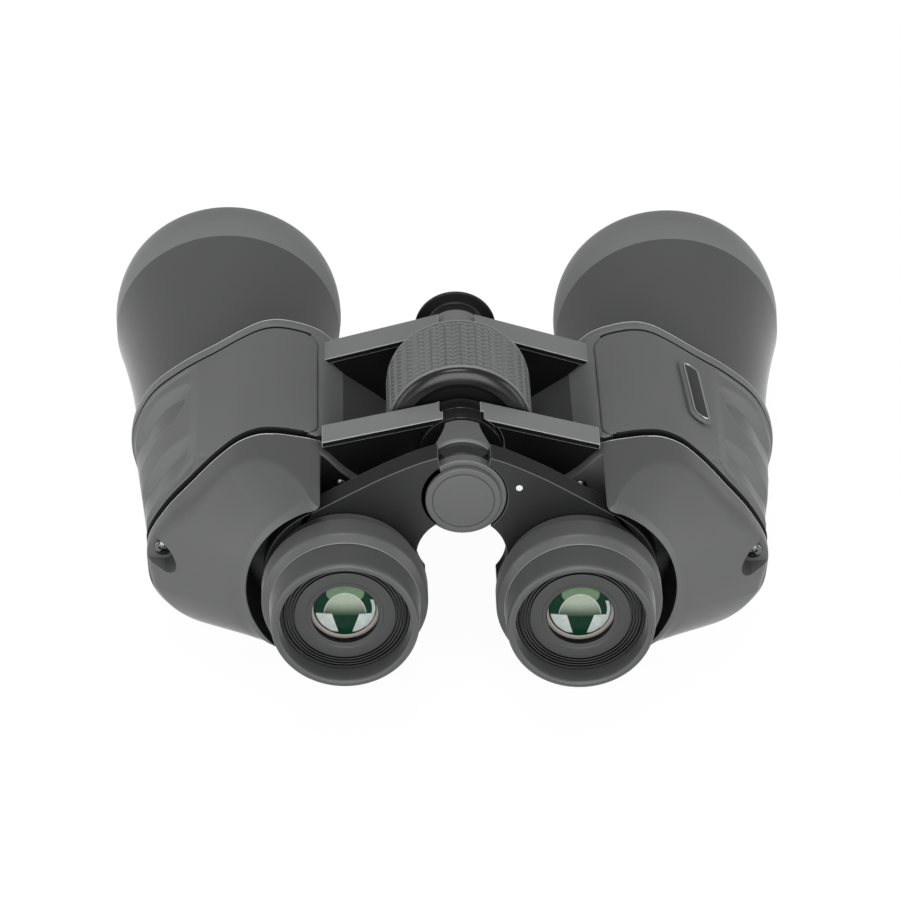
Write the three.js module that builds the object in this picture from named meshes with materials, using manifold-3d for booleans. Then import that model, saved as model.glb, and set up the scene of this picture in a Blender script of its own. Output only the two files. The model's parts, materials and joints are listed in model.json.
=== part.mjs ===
// Porro-prism binoculars: two prism housings on a centre hinge, focused together by a wheel
// between the hinge arms that slides the eyepiece bridge.
// Millimetres. X runs to the user's right, Y forward along the optical axes, Z up.
// The origin is the centre of the box round the object, on the surface that it stands on.
import * as THREE from 'three';
import { mergeVertices } from 'three/addons/utils/BufferGeometryUtils.js';
import Module from 'manifold-3d';

const wasm = await Module();
wasm.setup();

// ---------------------------------------------------------------- driving dimensions
const GAP = 0.3;                    // between pieces that touch
const RUNNING_GAP = 0.4;            // round pieces that turn or slide in one another

// axes, seen along Y
const OBJECTIVE_SPACING = 122.8;
const PUPIL_SPACING = 59.4;
const EYEPIECE_RISE = 9.0;          // eyepiece axis above the objective axis
const HINGE_RISE = 33.0;            // hinge axis above the objective axis

// objective end
const LENS_RADIUS = 25.2;
const HOOD_MOUTH_STEP = 1.7;        // hood's mouth outside the lens
const HOOD_WALL = 4.6;
const HOOD_FRONT = 89.0;
const HOOD_LENGTH = 19.5;
const HOOD_ROUND = 12.0;            // length of its rounded nose
const HOOD_TAPER = 0.5;             // hood's rear end inside its largest radius
const HOOD_NOSE = 1.4;              // flat width of the hood's front face
const BARREL_ROOT_RADIUS = 23.8;
const HOUSING_STEP = 1.2;           // housing's round underside outside the barrel's root
const BARREL_WALL = 2.0;
const FLARE_POWER = 1.6;            // above 1 the barrel flares like a bell
const HOOD_STEP = 0.2;              // hood proud of the barrel
const LENS_EDGE = 4.0;
const LENS_BULGE = 2.6;
const CELL_WALL = 2.0;
const CELL_LENGTH = 10.0;
const CELL_CLEARANCE = 0.6;         // cell's rear end from the barrel round it
const CELL_FLANGE = 2.2;            // cell behind the objective lens
const LENS_SEAT = 1.6;              // width of the ledge under a lens
const LOCK_RING_WIDTH = 1.4;
const LOCK_RING_LENGTH = 2.4;

// prism housing
const HOUSING_FRONT = 12.0;
const HOUSING_LIP = 4.0;
const LIP_STEP = 1.2;               // lip's edge outside the barrel
const JOINT_Y = -39.5;              // where the rear cover meets the housing
const JOINT_RADIUS = 19.8;          // underside of the housing at the joint
const HOUSING_WALL = 2.4;
const FRONT_WALL = 3.4;
const PANEL_THICKNESS = 1.5;
const PANEL_INSET = 1.0;            // panel edge behind the housing's front edge
const PANEL_SET_BACK = 2.0;         // panel edge before the joint
const PANEL_FROM_WALL = 1.6;        // panel edge from the housing's inner wall
const PANEL_DROP = 13.2;            // where the panel's inner edge turns outwards
const PANEL_UNDER = 2.0;            // panel edge past the objective axis, underneath
const PLATE_THICKNESS = 6.0;        // low inner part of the rear cover
const COVER_REAR = -73.0;
const COVER_WALL = 2.2;
const DOME_SET_IN = 0.35;           // step from the cover's flange in to its dome
const RECESS_RADIUS = 25.0;         // scoop in the rear cover round the eyepiece
const RECESS_FLOOR = -54.0;
const RECESS_LAND = 2.0;            // flat edge round the scoop

// prisms
const PRISM_LENGTH = 37.0;
const PRISM_WIDTH = 16.2;
const PRISM_BEVEL = 2.0;
const PRISM_SHIFT = 23.3;           // sideways step of the light in one prism
const SHELF_FRONT = -28.0;
const SHELF_THICKNESS = 2.0;
const SHELF_LEDGE = 0.6;            // shelf under a prism's edge

// hinge
const AXLE_RADIUS = 6.0;
const SPINDLE_RADIUS = 3.2;
const FRONT_LUG_RADIUS = 8.0;
const FRONT_LUG_Y = 13.6;
const FRONT_ARM_Y = 11.0;
const FRONT_ARM_THICKNESS = 9.3;
const REAR_LUG_RADIUS = 10.7;
const REAR_ARM_Y = -35.6;
const REAR_ARM_THICKNESS = 8.4;
const REAR_LUG_OVERHANG = 1.0;      // knuckle behind the rear arms
const ARM_REACH = 35.7;             // hinge axis to the housing wall, across
const ARM_TOP_HALF_GAP = 4.8;
const FRONT_ARM_TOP = 8.1;          // top edge by the hinge, above its axis
const FRONT_ARM_DROP = 9.0;         // fall of that edge on its way to the housing
const REAR_ARM_TOP = 9.8;
const REAR_ARM_DROP = 7.6;
const ARM_END_HEIGHT = 4.0;
const ARM_BURY = 2.0;               // arm drawn into the housing before it is cut to fit
const FLANGE_HEIGHT = 2.6;
const WEB_RECESS = 1.6;
const WEB_CLEAR = 1.6;              // web's end from the knuckle and from the housing
const WEB_EDGE = 1.5;               // lower flange

// focus wheel
const WHEEL_RADIUS = 18.9;
const WHEEL_FRONT = -9.5;
const WHEEL_WIDTH = 25.5;
const GRIP_WIDTH = 22.0;
const GRIP_THICKNESS = 1.6;
const WHEEL_FRONT_RIM = 1.2;
const WHEEL_RIM_STEP = 0.2;         // bare rims below the grip
const WHEEL_SHOULDER = 2.2;
const WHEEL_DISH = 1.8;
const FOCUS_TRAVEL = 5.0;           // each way, left free in front of the spindle
const SPINDLE_END_COVER = 2.0;      // bridge left behind the spindle's end

// eyepiece bridge
const BRIDGE_FRONT = -59.0;
const BRIDGE_THICKNESS = 6.8;
const BRIDGE_LUG_RADIUS = 10.9;
const BRIDGE_RING_WALL = 6.2;       // round the eyepiece tube
const BRIDGE_ARCH_RADIUS = 11.5;
const BRIDGE_ARCH_RISE = 6.2;       // centre of the arch above the eyepiece axis
const BRIDGE_TOP_HALF_GAP = 6.6;
const BRIDGE_TOP = 10.6;            // top corner by the hub, above the hinge axis
const BRIDGE_CAP_RADIUS = 9.6;
const BRIDGE_CAP_THICKNESS = 1.5;
const EDGE_BEVEL = 0.5;
const COLLAR_LENGTH = 9.8;
const COLLAR_RADIUS = 10.3;
const COLLAR_NECK_HALF_WIDTH = 4.0;
const COLLAR_RIM_HALF_WIDTH = 7.6;
const COLLAR_SWELL = 1.6;           // above 1 the sides of the collar are hollow

// eyepieces
const TUBE_NOSE_RADIUS = 12.6;
const TUBE_NOSE_FRONT = -47.0;
const TUBE_RADIUS = 15.7;
const TUBE_SET_IN = 0.2;            // tube's end inside the ring round it
const TUBE_WALL = 1.6;
const TUBE_SHOULDER = 0.8;          // wide part of the tube in front of the bridge
const BASE_RING_WALL = 3.2;
const BASE_RING_LENGTH = 5.0;
const EYE_RING_WALL = 1.6;          // skirt round the base ring
const EYE_RING_LENGTH = 8.4;
const EYE_RING_SKIRT = 1.9;
const EYE_RING_CHAMFER = 1.4;
const EYECUP_MOUTH_RADIUS = 16.6;
const EYECUP_WALL = 2.5;
const EYECUP_LENGTH = 8.9;
const EYECUP_TAPER = 0.3;
const EYECUP_ROUND = 1.7;
const BEZEL_THICKNESS = 2.0;
const BEZEL_STANDOFF = 2.3;         // bezel behind the tube
const BEZEL_HOLE_RADIUS = 8.4;
const EYE_LENS_RADIUS = 9.6;
const EYE_LENS_EDGE = 2.4;
const EYE_LENS_BULGE = 0.9;
const FIELD_LENS_RADIUS = 10.6;
const FIELD_LENS_EDGE = 2.2;
const FIELD_LENS_BULGE = 1.2;
const FIELD_LENS_SET_BACK = 1.5;    // field lens behind the ocular barrel's front
const OCULAR_SET_BACK = 4.6;        // ocular barrel behind the bridge's front
const OCULAR_EYE_SEAT = 6.0;        // length of the eye lens's seat

// fasteners and trim
const SCREW_HEAD_RADIUS = 2.1;
const SCREW_HEAD_HEIGHT = 1.4;
const SCREW_SHANK_RADIUS = 1.2;
const SCREW_LENGTH = 9.0;
const BOSS_RADIUS = 3.2;
const SCREW_SEAT = 1.0;             // cover left under a screw's head
const SCREW_POCKET_CLEARANCE = 1.2;
const CROSS_SLOT_WIDTH = 0.6;
const CROSS_SLOT_LENGTH = 2.6;
const TRIPOD_CAP_RADIUS = 10.8;
const TRIPOD_CAP_NECK_RADIUS = 7.6;
const TRIPOD_CAP_NECK_LENGTH = 3.6;
const TRIPOD_CAP_HEAD = 3.2;
const TRIPOD_SOCKET_RADIUS = 3.2;
const TRIPOD_SOCKET_DEPTH = 8.0;
const TRIPOD_STUD_CLEARANCE = 1.8;  // past the stud's end
const TRIPOD_CAP_ROUND = 1.5;
const SOCKET_WALL = 3.0;            // between the tripod socket and the spindle's bore
const BADGE_LENGTH = 27.0;
const BADGE_WIDTH = 5.2;
const BADGE_THICKNESS = 0.7;
const BADGE_LEAN = 1.1;             // sideways step of each end of the slanting plate
const BADGE_TILT = 34.0;            // degrees, with the shoulder that carries it
const BADGE_PLACE = [2.2, -10.0, 29.6];

const CUT = 1.0;                    // how far a cutter runs past what it cuts
const BEYOND = 60.0;                // outside everything on the housing
const FINE = 20;                    // sides of large round pieces
const MEDIUM = 16;
const COARSE = 8;

// ---------------------------------------------------------------- places worked out from them
const HOOD_MOUTH_RADIUS = LENS_RADIUS + HOOD_MOUTH_STEP;
const HOOD_RADIUS = HOOD_MOUTH_RADIUS + HOOD_WALL;
const OBJECTIVE_Z = HOOD_RADIUS;
const EYE_X = (PUPIL_SPACING - OBJECTIVE_SPACING) / 2;    // eyepiece axis from the objective axis
const EYE_Z = EYEPIECE_RISE;
const EYE_TO_HINGE_Z = HINGE_RISE - EYEPIECE_RISE;
const HOOD_REAR_RADIUS = HOOD_RADIUS - HOOD_TAPER;
const BODY_RADIUS = BARREL_ROOT_RADIUS + HOUSING_STEP;
const HOOD_REAR = HOOD_FRONT - HOOD_LENGTH;
const LIP_FRONT = HOUSING_FRONT + HOUSING_LIP;
const PLATE_REAR = JOINT_Y - PLATE_THICKNESS;
const PANEL_FRONT = HOUSING_FRONT - PANEL_INSET;
const PANEL_REAR = JOINT_Y + PANEL_SET_BACK;
const SHELF_REAR = SHELF_FRONT - SHELF_THICKNESS;
const SPIGOT_RADIUS = BARREL_ROOT_RADIUS - BARREL_WALL;
const WHEEL_REAR = WHEEL_FRONT - WHEEL_WIDTH;
const GRIP_FRONT = WHEEL_FRONT - WHEEL_FRONT_RIM;
const REAR_LUG_REAR = REAR_ARM_Y - REAR_ARM_THICKNESS - REAR_LUG_OVERHANG;
const FRONT_ARM_REAR = FRONT_ARM_Y - FRONT_ARM_THICKNESS;
const REAR_ARM_REAR = REAR_ARM_Y - REAR_ARM_THICKNESS;
const BRIDGE_REAR = BRIDGE_FRONT - BRIDGE_THICKNESS;
const TUBE_BORE = TUBE_RADIUS + GAP;
const BRIDGE_RING_RADIUS = TUBE_BORE + BRIDGE_RING_WALL;
const BASE_RING_RADIUS = TUBE_BORE + BASE_RING_WALL;
const EYE_RING_RADIUS = BASE_RING_RADIUS + GAP + EYE_RING_WALL;
const EYECUP_RADIUS = EYECUP_MOUTH_RADIUS + EYECUP_WALL;
const TRIPOD_SOCKET_END = FRONT_LUG_Y - TRIPOD_SOCKET_DEPTH;
const SPINDLE_BORE_FRONT = TRIPOD_SOCKET_END - SOCKET_WALL;
const BASE_RING_REAR = BRIDGE_REAR - GAP - BASE_RING_LENGTH;
const EYE_RING_FRONT = BASE_RING_REAR - GAP;
const EYE_RING_REAR = EYE_RING_FRONT - EYE_RING_LENGTH;
const EYECUP_FRONT = EYE_RING_REAR - GAP;
const EYECUP_REAR = EYECUP_FRONT - EYECUP_LENGTH;
const TUBE_REAR = EYE_RING_REAR + TUBE_SET_IN;
const BEZEL_FRONT = TUBE_REAR - BEZEL_STANDOFF;
const BEZEL_REAR = BEZEL_FRONT - BEZEL_THICKNESS;

// ---------------------------------------------------------------- solids
function toManifold(geometry) {
  const bare = geometry.index ? geometry.toNonIndexed() : geometry.clone();
  bare.deleteAttribute('normal');
  bare.deleteAttribute('uv');
  const merged = mergeVertices(bare, 1e-4);
  const vertices = Float32Array.from(merged.attributes.position.array);
  const faces = [];
  const corners = merged.index.array;
  for (let i = 0; i < corners.length; i += 3) {
    const [a, b, c] = corners.slice(i, i + 3);
    if (a !== b && b !== c && c !== a) faces.push(a, b, c);
  }
  if (signedVolume(vertices, faces) < 0) faces.reverse();
  return new wasm.Manifold(
    new wasm.Mesh({ numProp: 3, vertProperties: vertices, triVerts: Uint32Array.from(faces) }));
}

function signedVolume(vertices, faces) {
  const corner = (i) => new THREE.Vector3().fromArray(vertices, 3 * i);
  let sum = 0;
  for (let i = 0; i < faces.length; i += 3) {
    sum += corner(faces[i]).dot(corner(faces[i + 1]).cross(corner(faces[i + 2])));
  }
  return sum / 6;
}

function toGeometry(solid) {
  const mesh = solid.getMesh();
  const geometry = new THREE.BufferGeometry();
  geometry.setAttribute('position', new THREE.BufferAttribute(mesh.vertProperties, mesh.numProp));
  geometry.setIndex(new THREE.BufferAttribute(mesh.triVerts, 1));
  return geometry;
}

const toSolid = (item) => (item.isBufferGeometry ? toManifold(item) : item);

// joins the first list of geometries or solids and cuts the second list from them
function carve(joined, cuts = []) {
  const whole = joined.map(toSolid).reduce((solid, other) => solid.add(other));
  return cuts.map(toSolid).reduce((solid, other) => solid.subtract(other), whole);
}

const common = (first, second) => toSolid(first).intersect(toSolid(second));

// profile: [radius, y] pairs round the Y axis, starting and ending on it or closing on itself
function revolve(profile, sides = FINE) {
  return new THREE.LatheGeometry(profile.map(([r, y]) => new THREE.Vector2(r, y)), sides);
}

function closedRevolve(profile, sides = FINE) {
  return revolve([...profile, profile[0]], sides);
}

function tube(outer, inner, front, rear, sides = FINE) {
  return closedRevolve([[inner, front], [outer, front], [outer, rear], [inner, rear]], sides);
}

function rod(radius, front, rear, sides = FINE) {
  return revolve([[0, front], [radius, front], [radius, rear], [0, rear]], sides);
}

// outline: [x, z] pairs, drawn out along Y from front back to rear
function extrudeY(outline, front, rear) {
  const shape = new THREE.Shape(outline.map(([x, z]) => new THREE.Vector2(x, z)));
  const geometry = new THREE.ExtrudeGeometry(shape, { depth: front - rear, bevelEnabled: false });
  return geometry.rotateX(Math.PI / 2).translate(0, front, 0);
}

// sections: outlines of equal length at falling y, skinned and capped
function loft(outlines) {
  const flip = area(outlines[0].outline) < 0;
  const sections = outlines.map(({ y, outline }) => (
    { y, outline: flip ? [...outline].reverse() : outline }));
  const count = sections[0].outline.length;
  const positions = [];
  for (const { y, outline } of sections) {
    for (const [x, z] of outline) positions.push(x, y, z);
  }
  const index = [];
  for (let s = 0; s + 1 < sections.length; s += 1) {
    for (let i = 0; i < count; i += 1) {
      const a = s * count + i;
      const b = s * count + ((i + 1) % count);
      index.push(a, b, a + count, b, b + count, a + count);
    }
  }
  const cap = THREE.ShapeUtils.triangulateShape(
    sections[0].outline.map(([x, z]) => new THREE.Vector2(x, z)), []);
  const last = (sections.length - 1) * count;
  for (const [a, b, c] of cap) index.push(a, c, b, last + a, last + b, last + c);
  const geometry = new THREE.BufferGeometry();
  geometry.setAttribute('position', new THREE.Float32BufferAttribute(positions, 3));
  geometry.setIndex(index);
  return geometry;
}

// ---------------------------------------------------------------- outlines in the XZ plane
function smooth(points, count) {
  const curve = new THREE.CatmullRomCurve3(
    points.map(([x, z]) => new THREE.Vector3(x, z, 0)), true, 'centripetal');
  return curve.getSpacedPoints(count).slice(0, count).map((p) => [p.x, p.y]);
}

function area(outline) {
  return THREE.ShapeUtils.area(outline.map(([x, z]) => new THREE.Vector2(x, z)));
}

// moves an outline inwards along its normals
function inset(outline, distance) {
  const turn = Math.sign(area(outline));
  return outline.map(([x, z], i) => {
    const before = outline[(i + outline.length - 1) % outline.length];
    const after = outline[(i + 1) % outline.length];
    const run = new THREE.Vector2(after[0] - before[0], after[1] - before[1]).normalize();
    return [x - turn * run.y * distance, z + turn * run.x * distance];
  });
}

function blend(first, second, share) {
  return first.map(([x, z], i) => [
    THREE.MathUtils.lerp(x, second[i][0], share),
    THREE.MathUtils.lerp(z, second[i][1], share),
  ]);
}

const mirrored = (outline, side) => outline.map(([x, z]) => [side * x, z]);

function circle(cx, cz, radius, sides = FINE) {
  return Array.from({ length: sides }, (_, i) => {
    const angle = (2 * Math.PI * i) / sides;
    return [cx + radius * Math.cos(angle), cz + radius * Math.sin(angle)];
  });
}

function arc(cx, cz, radius, from, to, steps) {
  return Array.from({ length: steps + 1 }, (_, i) => {
    const angle = THREE.MathUtils.degToRad(from + ((to - from) * i) / steps);
    return [cx + radius * Math.cos(angle), cz + radius * Math.sin(angle)];
  });
}

// The housing's section, from the objective axis, for the right-hand side.
// The hump lies over the rear prism and the lobe reaches in over the front prism.
const WALL_X = ARM_REACH + GAP - OBJECTIVE_SPACING / 2;
const WALL_TOP = 33.2;
const FACET = [
  [WALL_X, WALL_TOP],
  [EYE_X, EYE_Z + 18.1],
  [EYE_X - 11.2, EYE_Z + 9.6],
];
const LOBE = [
  ...FACET,
  [EYE_X - 16.4, EYE_Z + 3.6],
  [EYE_X - 15.4, EYE_Z - 4.0],
  [EYE_X - 8.0, EYE_Z - 15.0],
  [EYE_X - 1.5, EYE_Z - 21.0],
];
const OUTLINE_POINTS = 32;
const FRONT_OUTLINE = smooth([
  [BODY_RADIUS, -1.3], [24.2, 6.0], [19.5, 15.8], [11.5, 23.0], [2.0, 29.0],
  [-4.5, 33.2], [-9.5, 35.8], [-13.5, 36.6], [-19.0, 35.8],
  ...LOBE,
  ...arc(0, 0, BODY_RADIUS, -140, -30, 4),
], OUTLINE_POINTS);
const JOINT_CREST = [
  [19.3, -1.0], [19.1, 4.0], [14.5, 12.5], [8.0, 20.5], [1.0, 28.5],
  [-4.5, 33.3], [-9.5, 35.4], [-14.0, 35.6], [-19.0, 34.9],
];
const JOINT_OUTLINE = smooth([
  ...JOINT_CREST,
  ...LOBE,
  ...arc(0, 0, JOINT_RADIUS, -132, -24, 4),
], OUTLINE_POINTS);
const HUMP_OUTLINE = smooth([
  ...JOINT_CREST,
  [WALL_X + 1.2, 32.2], [WALL_X, 27.0], [WALL_X, 15.0], [WALL_X, 3.0],
  [WALL_X, -8.0], [WALL_X + 4.0, -15.5],
  ...arc(0, 0, JOINT_RADIUS, -120, -24, 4),
], OUTLINE_POINTS);
// The dome behind the hump closes towards a D round the eyepiece scoop.
const PLATEAU_OUTLINE = smooth([
  ...arc(EYE_X, EYE_Z, RECESS_RADIUS + RECESS_LAND, -10, 76, 7).slice(1),
  [WALL_X + 0.2, EYE_Z + 24.5], [WALL_X, EYE_Z + 12.0], [WALL_X, EYE_Z],
  [WALL_X, EYE_Z - 12.0], [WALL_X + 1.5, EYE_Z - 18.5],
  ...arc(EYE_X, EYE_Z, RECESS_RADIUS + RECESS_LAND, -47, -12, 3),
], OUTLINE_POINTS);

// screw places from the objective axis, right-hand side
const OUTER_SCREW = [15.2, 4.2];
const INNER_SCREW = [EYE_X + 1.2, EYE_Z + 14.6];

// ---------------------------------------------------------------- prism housing group
function housingStack(side, shrink) {
  return loft([
    { y: HOUSING_FRONT, outline: mirrored(inset(FRONT_OUTLINE, shrink), side) },
    { y: JOINT_Y, outline: mirrored(inset(JOINT_OUTLINE, shrink), side) },
  ]);
}

// the part of the housing's skin that the grip panel wraps, grown by a margin
function panelZone(side, grow) {
  const inner = WALL_X + PANEL_FROM_WALL - grow;
  const zone = [
    [inner, BEYOND], [inner, WALL_TOP - PANEL_DROP], [-PANEL_UNDER - grow, 0],
    [-PANEL_UNDER - grow, -BEYOND], [BEYOND, -BEYOND], [BEYOND, BEYOND],
  ];
  return extrudeY(mirrored(zone, side), PANEL_FRONT + grow, PANEL_REAR - grow);
}

function gripPanel(side) {
  const skin = carve([housingStack(side, 0)], [housingStack(side, PANEL_THICKNESS)]);
  return common(skin, panelZone(side, 0));
}

function panelPocket(side) {
  const deep = PANEL_THICKNESS + GAP;
  const grown = loft([
    { y: HOUSING_FRONT + CUT, outline: mirrored(inset(FRONT_OUTLINE, -CUT), side) },
    { y: JOINT_Y - CUT, outline: mirrored(inset(JOINT_OUTLINE, -CUT), side) },
  ]);
  return common(carve([grown], [housingStack(side, deep)]), panelZone(side, GAP));
}

// a copy of the given shape at each cover screw
function atScrews(side, make) {
  return [OUTER_SCREW, INNER_SCREW].map(([x, z]) => make().translate(side * x, 0, z));
}

function screwBosses(side, front, rear) {
  return atScrews(side, () => rod(BOSS_RADIUS, front, rear, COARSE));
}

function prismHousing(side) {
  const hollowFront = HOUSING_FRONT - FRONT_WALL;
  const cavity = extrudeY(mirrored(inset(JOINT_OUTLINE, HOUSING_WALL + PANEL_THICKNESS), side),
    hollowFront, JOINT_Y - CUT);
  const bosses = screwBosses(side, hollowFront + CUT, JOINT_Y - 2 * CUT);
  const lip = extrudeY(mirrored(inset(FRONT_OUTLINE, PANEL_THICKNESS + GAP), side),
    LIP_FRONT, HOUSING_FRONT - CUT);
  const lipKeep = rod(BODY_RADIUS + LIP_STEP, LIP_FRONT, HOUSING_FRONT - CUT);
  const barrelBore = rod(SPIGOT_RADIUS + GAP, LIP_FRONT + CUT, hollowFront - CUT);
  const screwHoles = atScrews(side, () => (
    rod(SCREW_SHANK_RADIUS + GAP, JOINT_Y + SCREW_LENGTH, JOINT_Y - CUT, COARSE)));
  const shell = carve([housingStack(side, 0), common(lip, lipKeep)], [panelPocket(side)]);
  return carve([shell], [carve([cavity], bosses), barrelBore, ...screwHoles]);
}

// how far the dome has closed, at shares of its depth
const DOME_STEPS = [[0, 0], [0.18, 0.03], [0.32, 0.12], [0.56, 0.38], [0.8, 0.74], [1, 1]];
const CAVITY_STEPS = [[0, 0], [0.18, 0.03], [0.56, 0.38], [1, 1]];

function coverDome(side, steps, wall) {
  const depth = JOINT_Y - GAP - COVER_REAR - wall;
  return loft(steps.map(([along, share], i) => ({
    y: JOINT_Y - GAP - along * depth + (wall > 0 && i === 0 ? CUT : 0),
    outline: mirrored(inset(blend(HUMP_OUTLINE, PLATEAU_OUTLINE, share), wall + DOME_SET_IN), side),
  })));
}

function rearCover(side) {
  const front = JOINT_Y - GAP;
  const rear = COVER_REAR - CUT;
  const atEyepiece = (shape) => shape.translate(side * EYE_X, 0, EYE_Z);
  const dome = coverDome(side, DOME_STEPS, 0);
  const plate = extrudeY(mirrored(JOINT_OUTLINE, side), front, PLATE_REAR);
  const lowCavity = extrudeY(
    mirrored(inset(JOINT_OUTLINE, COVER_WALL), side), front + CUT, PLATE_REAR + COVER_WALL);
  const domeCavity = coverDome(side, CAVITY_STEPS, COVER_WALL);
  const scoop = atEyepiece(rod(RECESS_RADIUS, RECESS_FLOOR, rear));
  const scoopBacking = atEyepiece(rod(RECESS_RADIUS + COVER_WALL, RECESS_FLOOR + COVER_WALL, rear));
  const tubeBore = atEyepiece(rod(TUBE_NOSE_RADIUS + RUNNING_GAP, front + CUT, rear));
  const bosses = screwBosses(side, front + CUT, PLATE_REAR + SCREW_SEAT);
  const cavities = [carve([lowCavity], bosses), carve([domeCavity], [scoopBacking, ...bosses])];
  const pocketRadius = SCREW_HEAD_RADIUS + SCREW_POCKET_CLEARANCE;
  const pockets = atScrews(side, () => rod(pocketRadius, PLATE_REAR, rear, COARSE));
  const holes = atScrews(side, () => (
    rod(SCREW_SHANK_RADIUS + GAP, front + CUT, PLATE_REAR - CUT, COARSE)));
  return carve([plate, dome], [...cavities, scoop, tubeBore, ...pockets, ...holes]);
}

// A right-angled prism: its long face lies in the XZ plane at the given y and the roof
// points along Y. long is the direction of its length in the XZ plane.
function porroPrism(centre, long, y, facing) {
  const half = PRISM_LENGTH / 2;
  const shape = new THREE.Shape([
    [-half, 0], [half, 0], [half, PRISM_BEVEL], [PRISM_BEVEL, half],
    [-PRISM_BEVEL, half], [-half, PRISM_BEVEL],
  ].map(([u, v]) => new THREE.Vector2(u, v)));
  const geometry = new THREE.ExtrudeGeometry(shape, { depth: PRISM_WIDTH, bevelEnabled: false });
  geometry.translate(0, 0, -PRISM_WIDTH / 2);
  const along = new THREE.Vector3(long.x, 0, long.y);
  const roof = new THREE.Vector3(0, facing, 0);
  const across = new THREE.Vector3().crossVectors(along, roof);
  const turn = new THREE.Matrix4().makeBasis(along, roof, across);
  turn.setPosition(centre.x, y, centre.y);
  return geometry.applyMatrix4(turn);
}

function lightSteps(side) {
  const whole = new THREE.Vector2(side * EYE_X, EYE_Z);
  const heading = whole.angle() - (side * Math.PI) / 4;
  const first = new THREE.Vector2(Math.cos(heading), Math.sin(heading));
  const second = new THREE.Vector2(Math.cos(heading + (side * Math.PI) / 2),
    Math.sin(heading + (side * Math.PI) / 2));
  return { first, second };
}

function prisms(side) {
  const { first, second } = lightSteps(side);
  const rearCentre = first.clone().multiplyScalar(PRISM_SHIFT / 2);
  const frontCentre = first.clone().multiplyScalar(PRISM_SHIFT)
    .addScaledVector(second, PRISM_SHIFT / 2);
  return {
    rear: porroPrism(rearCentre, first, SHELF_REAR - GAP, -1),
    front: porroPrism(frontCentre, second, SHELF_FRONT + GAP, 1),
  };
}

function prismShelf(side) {
  const { first } = lightSteps(side);
  const rim = inset(JOINT_OUTLINE, HOUSING_WALL + PANEL_THICKNESS + GAP);
  const window = PRISM_WIDTH / 2 - SHELF_LEDGE;
  const openings = [[0, 0], [first.x * PRISM_SHIFT, first.y * PRISM_SHIFT], [side * EYE_X, EYE_Z]];
  const holes = openings.map(([x, z]) => (
    rod(window, SHELF_FRONT + CUT, SHELF_REAR - CUT, MEDIUM).translate(x, 0, z)));
  const clear = atScrews(side, () => (
    rod(BOSS_RADIUS + GAP, SHELF_FRONT + CUT, SHELF_REAR - CUT, COARSE)));
  return carve([extrudeY(mirrored(rim, side), SHELF_FRONT, SHELF_REAR)], [...holes, ...clear]);
}

// ---------------------------------------------------------------- objective group
function flare(share) {
  const growth = HOOD_REAR_RADIUS - HOOD_STEP - BARREL_ROOT_RADIUS;
  return BARREL_ROOT_RADIUS + growth * share ** FLARE_POWER;
}

function objectiveBarrel() {
  const front = HOOD_REAR - GAP;
  const rear = LIP_FRONT + GAP;
  const steps = 4;
  const outer = [];
  for (let i = 0; i <= steps; i += 1) {
    const share = i / steps;
    outer.push([flare(share), THREE.MathUtils.lerp(rear, front, share)]);
  }
  const inner = outer.map(([r, y]) => [r - BARREL_WALL, y]).reverse();
  const spigotBore = SPIGOT_RADIUS - BARREL_WALL;
  const spigotRear = HOUSING_FRONT - FRONT_WALL;
  return closedRevolve([
    [spigotBore, spigotRear], [SPIGOT_RADIUS, spigotRear], [SPIGOT_RADIUS, rear],
    ...outer, ...inner.slice(0, -1), [spigotBore, rear + BARREL_WALL / 2],
  ]);
}

function objectiveHood() {
  const nose = HOOD_MOUTH_RADIUS + HOOD_NOSE;
  const steps = 4;
  const curve = [];
  for (let i = 0; i <= steps; i += 1) {
    const angle = (i / steps) * (Math.PI / 2);
    curve.push([
      nose + (HOOD_RADIUS - nose) * Math.cos(angle),
      HOOD_FRONT - HOOD_ROUND * (1 - Math.sin(angle)),
    ]);
  }
  return closedRevolve([
    [HOOD_MOUTH_RADIUS, HOOD_REAR], [HOOD_REAR_RADIUS, HOOD_REAR], ...curve,
    [HOOD_MOUTH_RADIUS, HOOD_FRONT],
  ]);
}

const CELL_FRONT = HOOD_REAR - GAP;
const CELL_REAR = CELL_FRONT - CELL_LENGTH;
const LENS_REAR = CELL_REAR + CELL_FLANGE;

function objectiveCell() {
  const bore = LENS_RADIUS + GAP;
  const share = THREE.MathUtils.inverseLerp(LIP_FRONT + GAP, CELL_FRONT, CELL_REAR);
  const rearRadius = flare(share) - BARREL_WALL - CELL_CLEARANCE;
  return closedRevolve([
    [bore, CELL_FRONT], [bore + CELL_WALL, CELL_FRONT],
    [rearRadius, CELL_REAR], [LENS_RADIUS - LENS_SEAT, CELL_REAR],
    [LENS_RADIUS - LENS_SEAT, LENS_REAR - GAP], [bore, LENS_REAR - GAP],
  ]);
}

function bulgedLens(radius, edge, bulge, front, sides = FINE) {
  const rear = front - edge;
  const steps = 2;
  const face = Array.from({ length: steps }, (_, i) => [
    (radius * i) / steps, bulge * (1 - (i / steps) ** 2),
  ]);
  return revolve([
    ...face.map(([r, h]) => [r, front + h]), [radius, front], [radius, rear],
    ...face.map(([r, h]) => [r, rear - h]).reverse(),
  ], sides);
}

function retainingRing() {
  const rear = LENS_REAR + LENS_EDGE + GAP;
  return tube(LENS_RADIUS, LENS_RADIUS - LOCK_RING_WIDTH, rear + LOCK_RING_LENGTH, rear);
}

// ---------------------------------------------------------------- hinge group, from the hinge axis
// An arm is a flanged web from the hinge to the housing. Its knuckle takes the front or the
// rear half of the hinge, and the wing is cut clear of the other arm's knuckle.
const slopeAt = (arm, x) => (
  THREE.MathUtils.mapLinear(x, ARM_TOP_HALF_GAP, ARM_REACH, arm.topInner, arm.topOuter));

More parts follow.
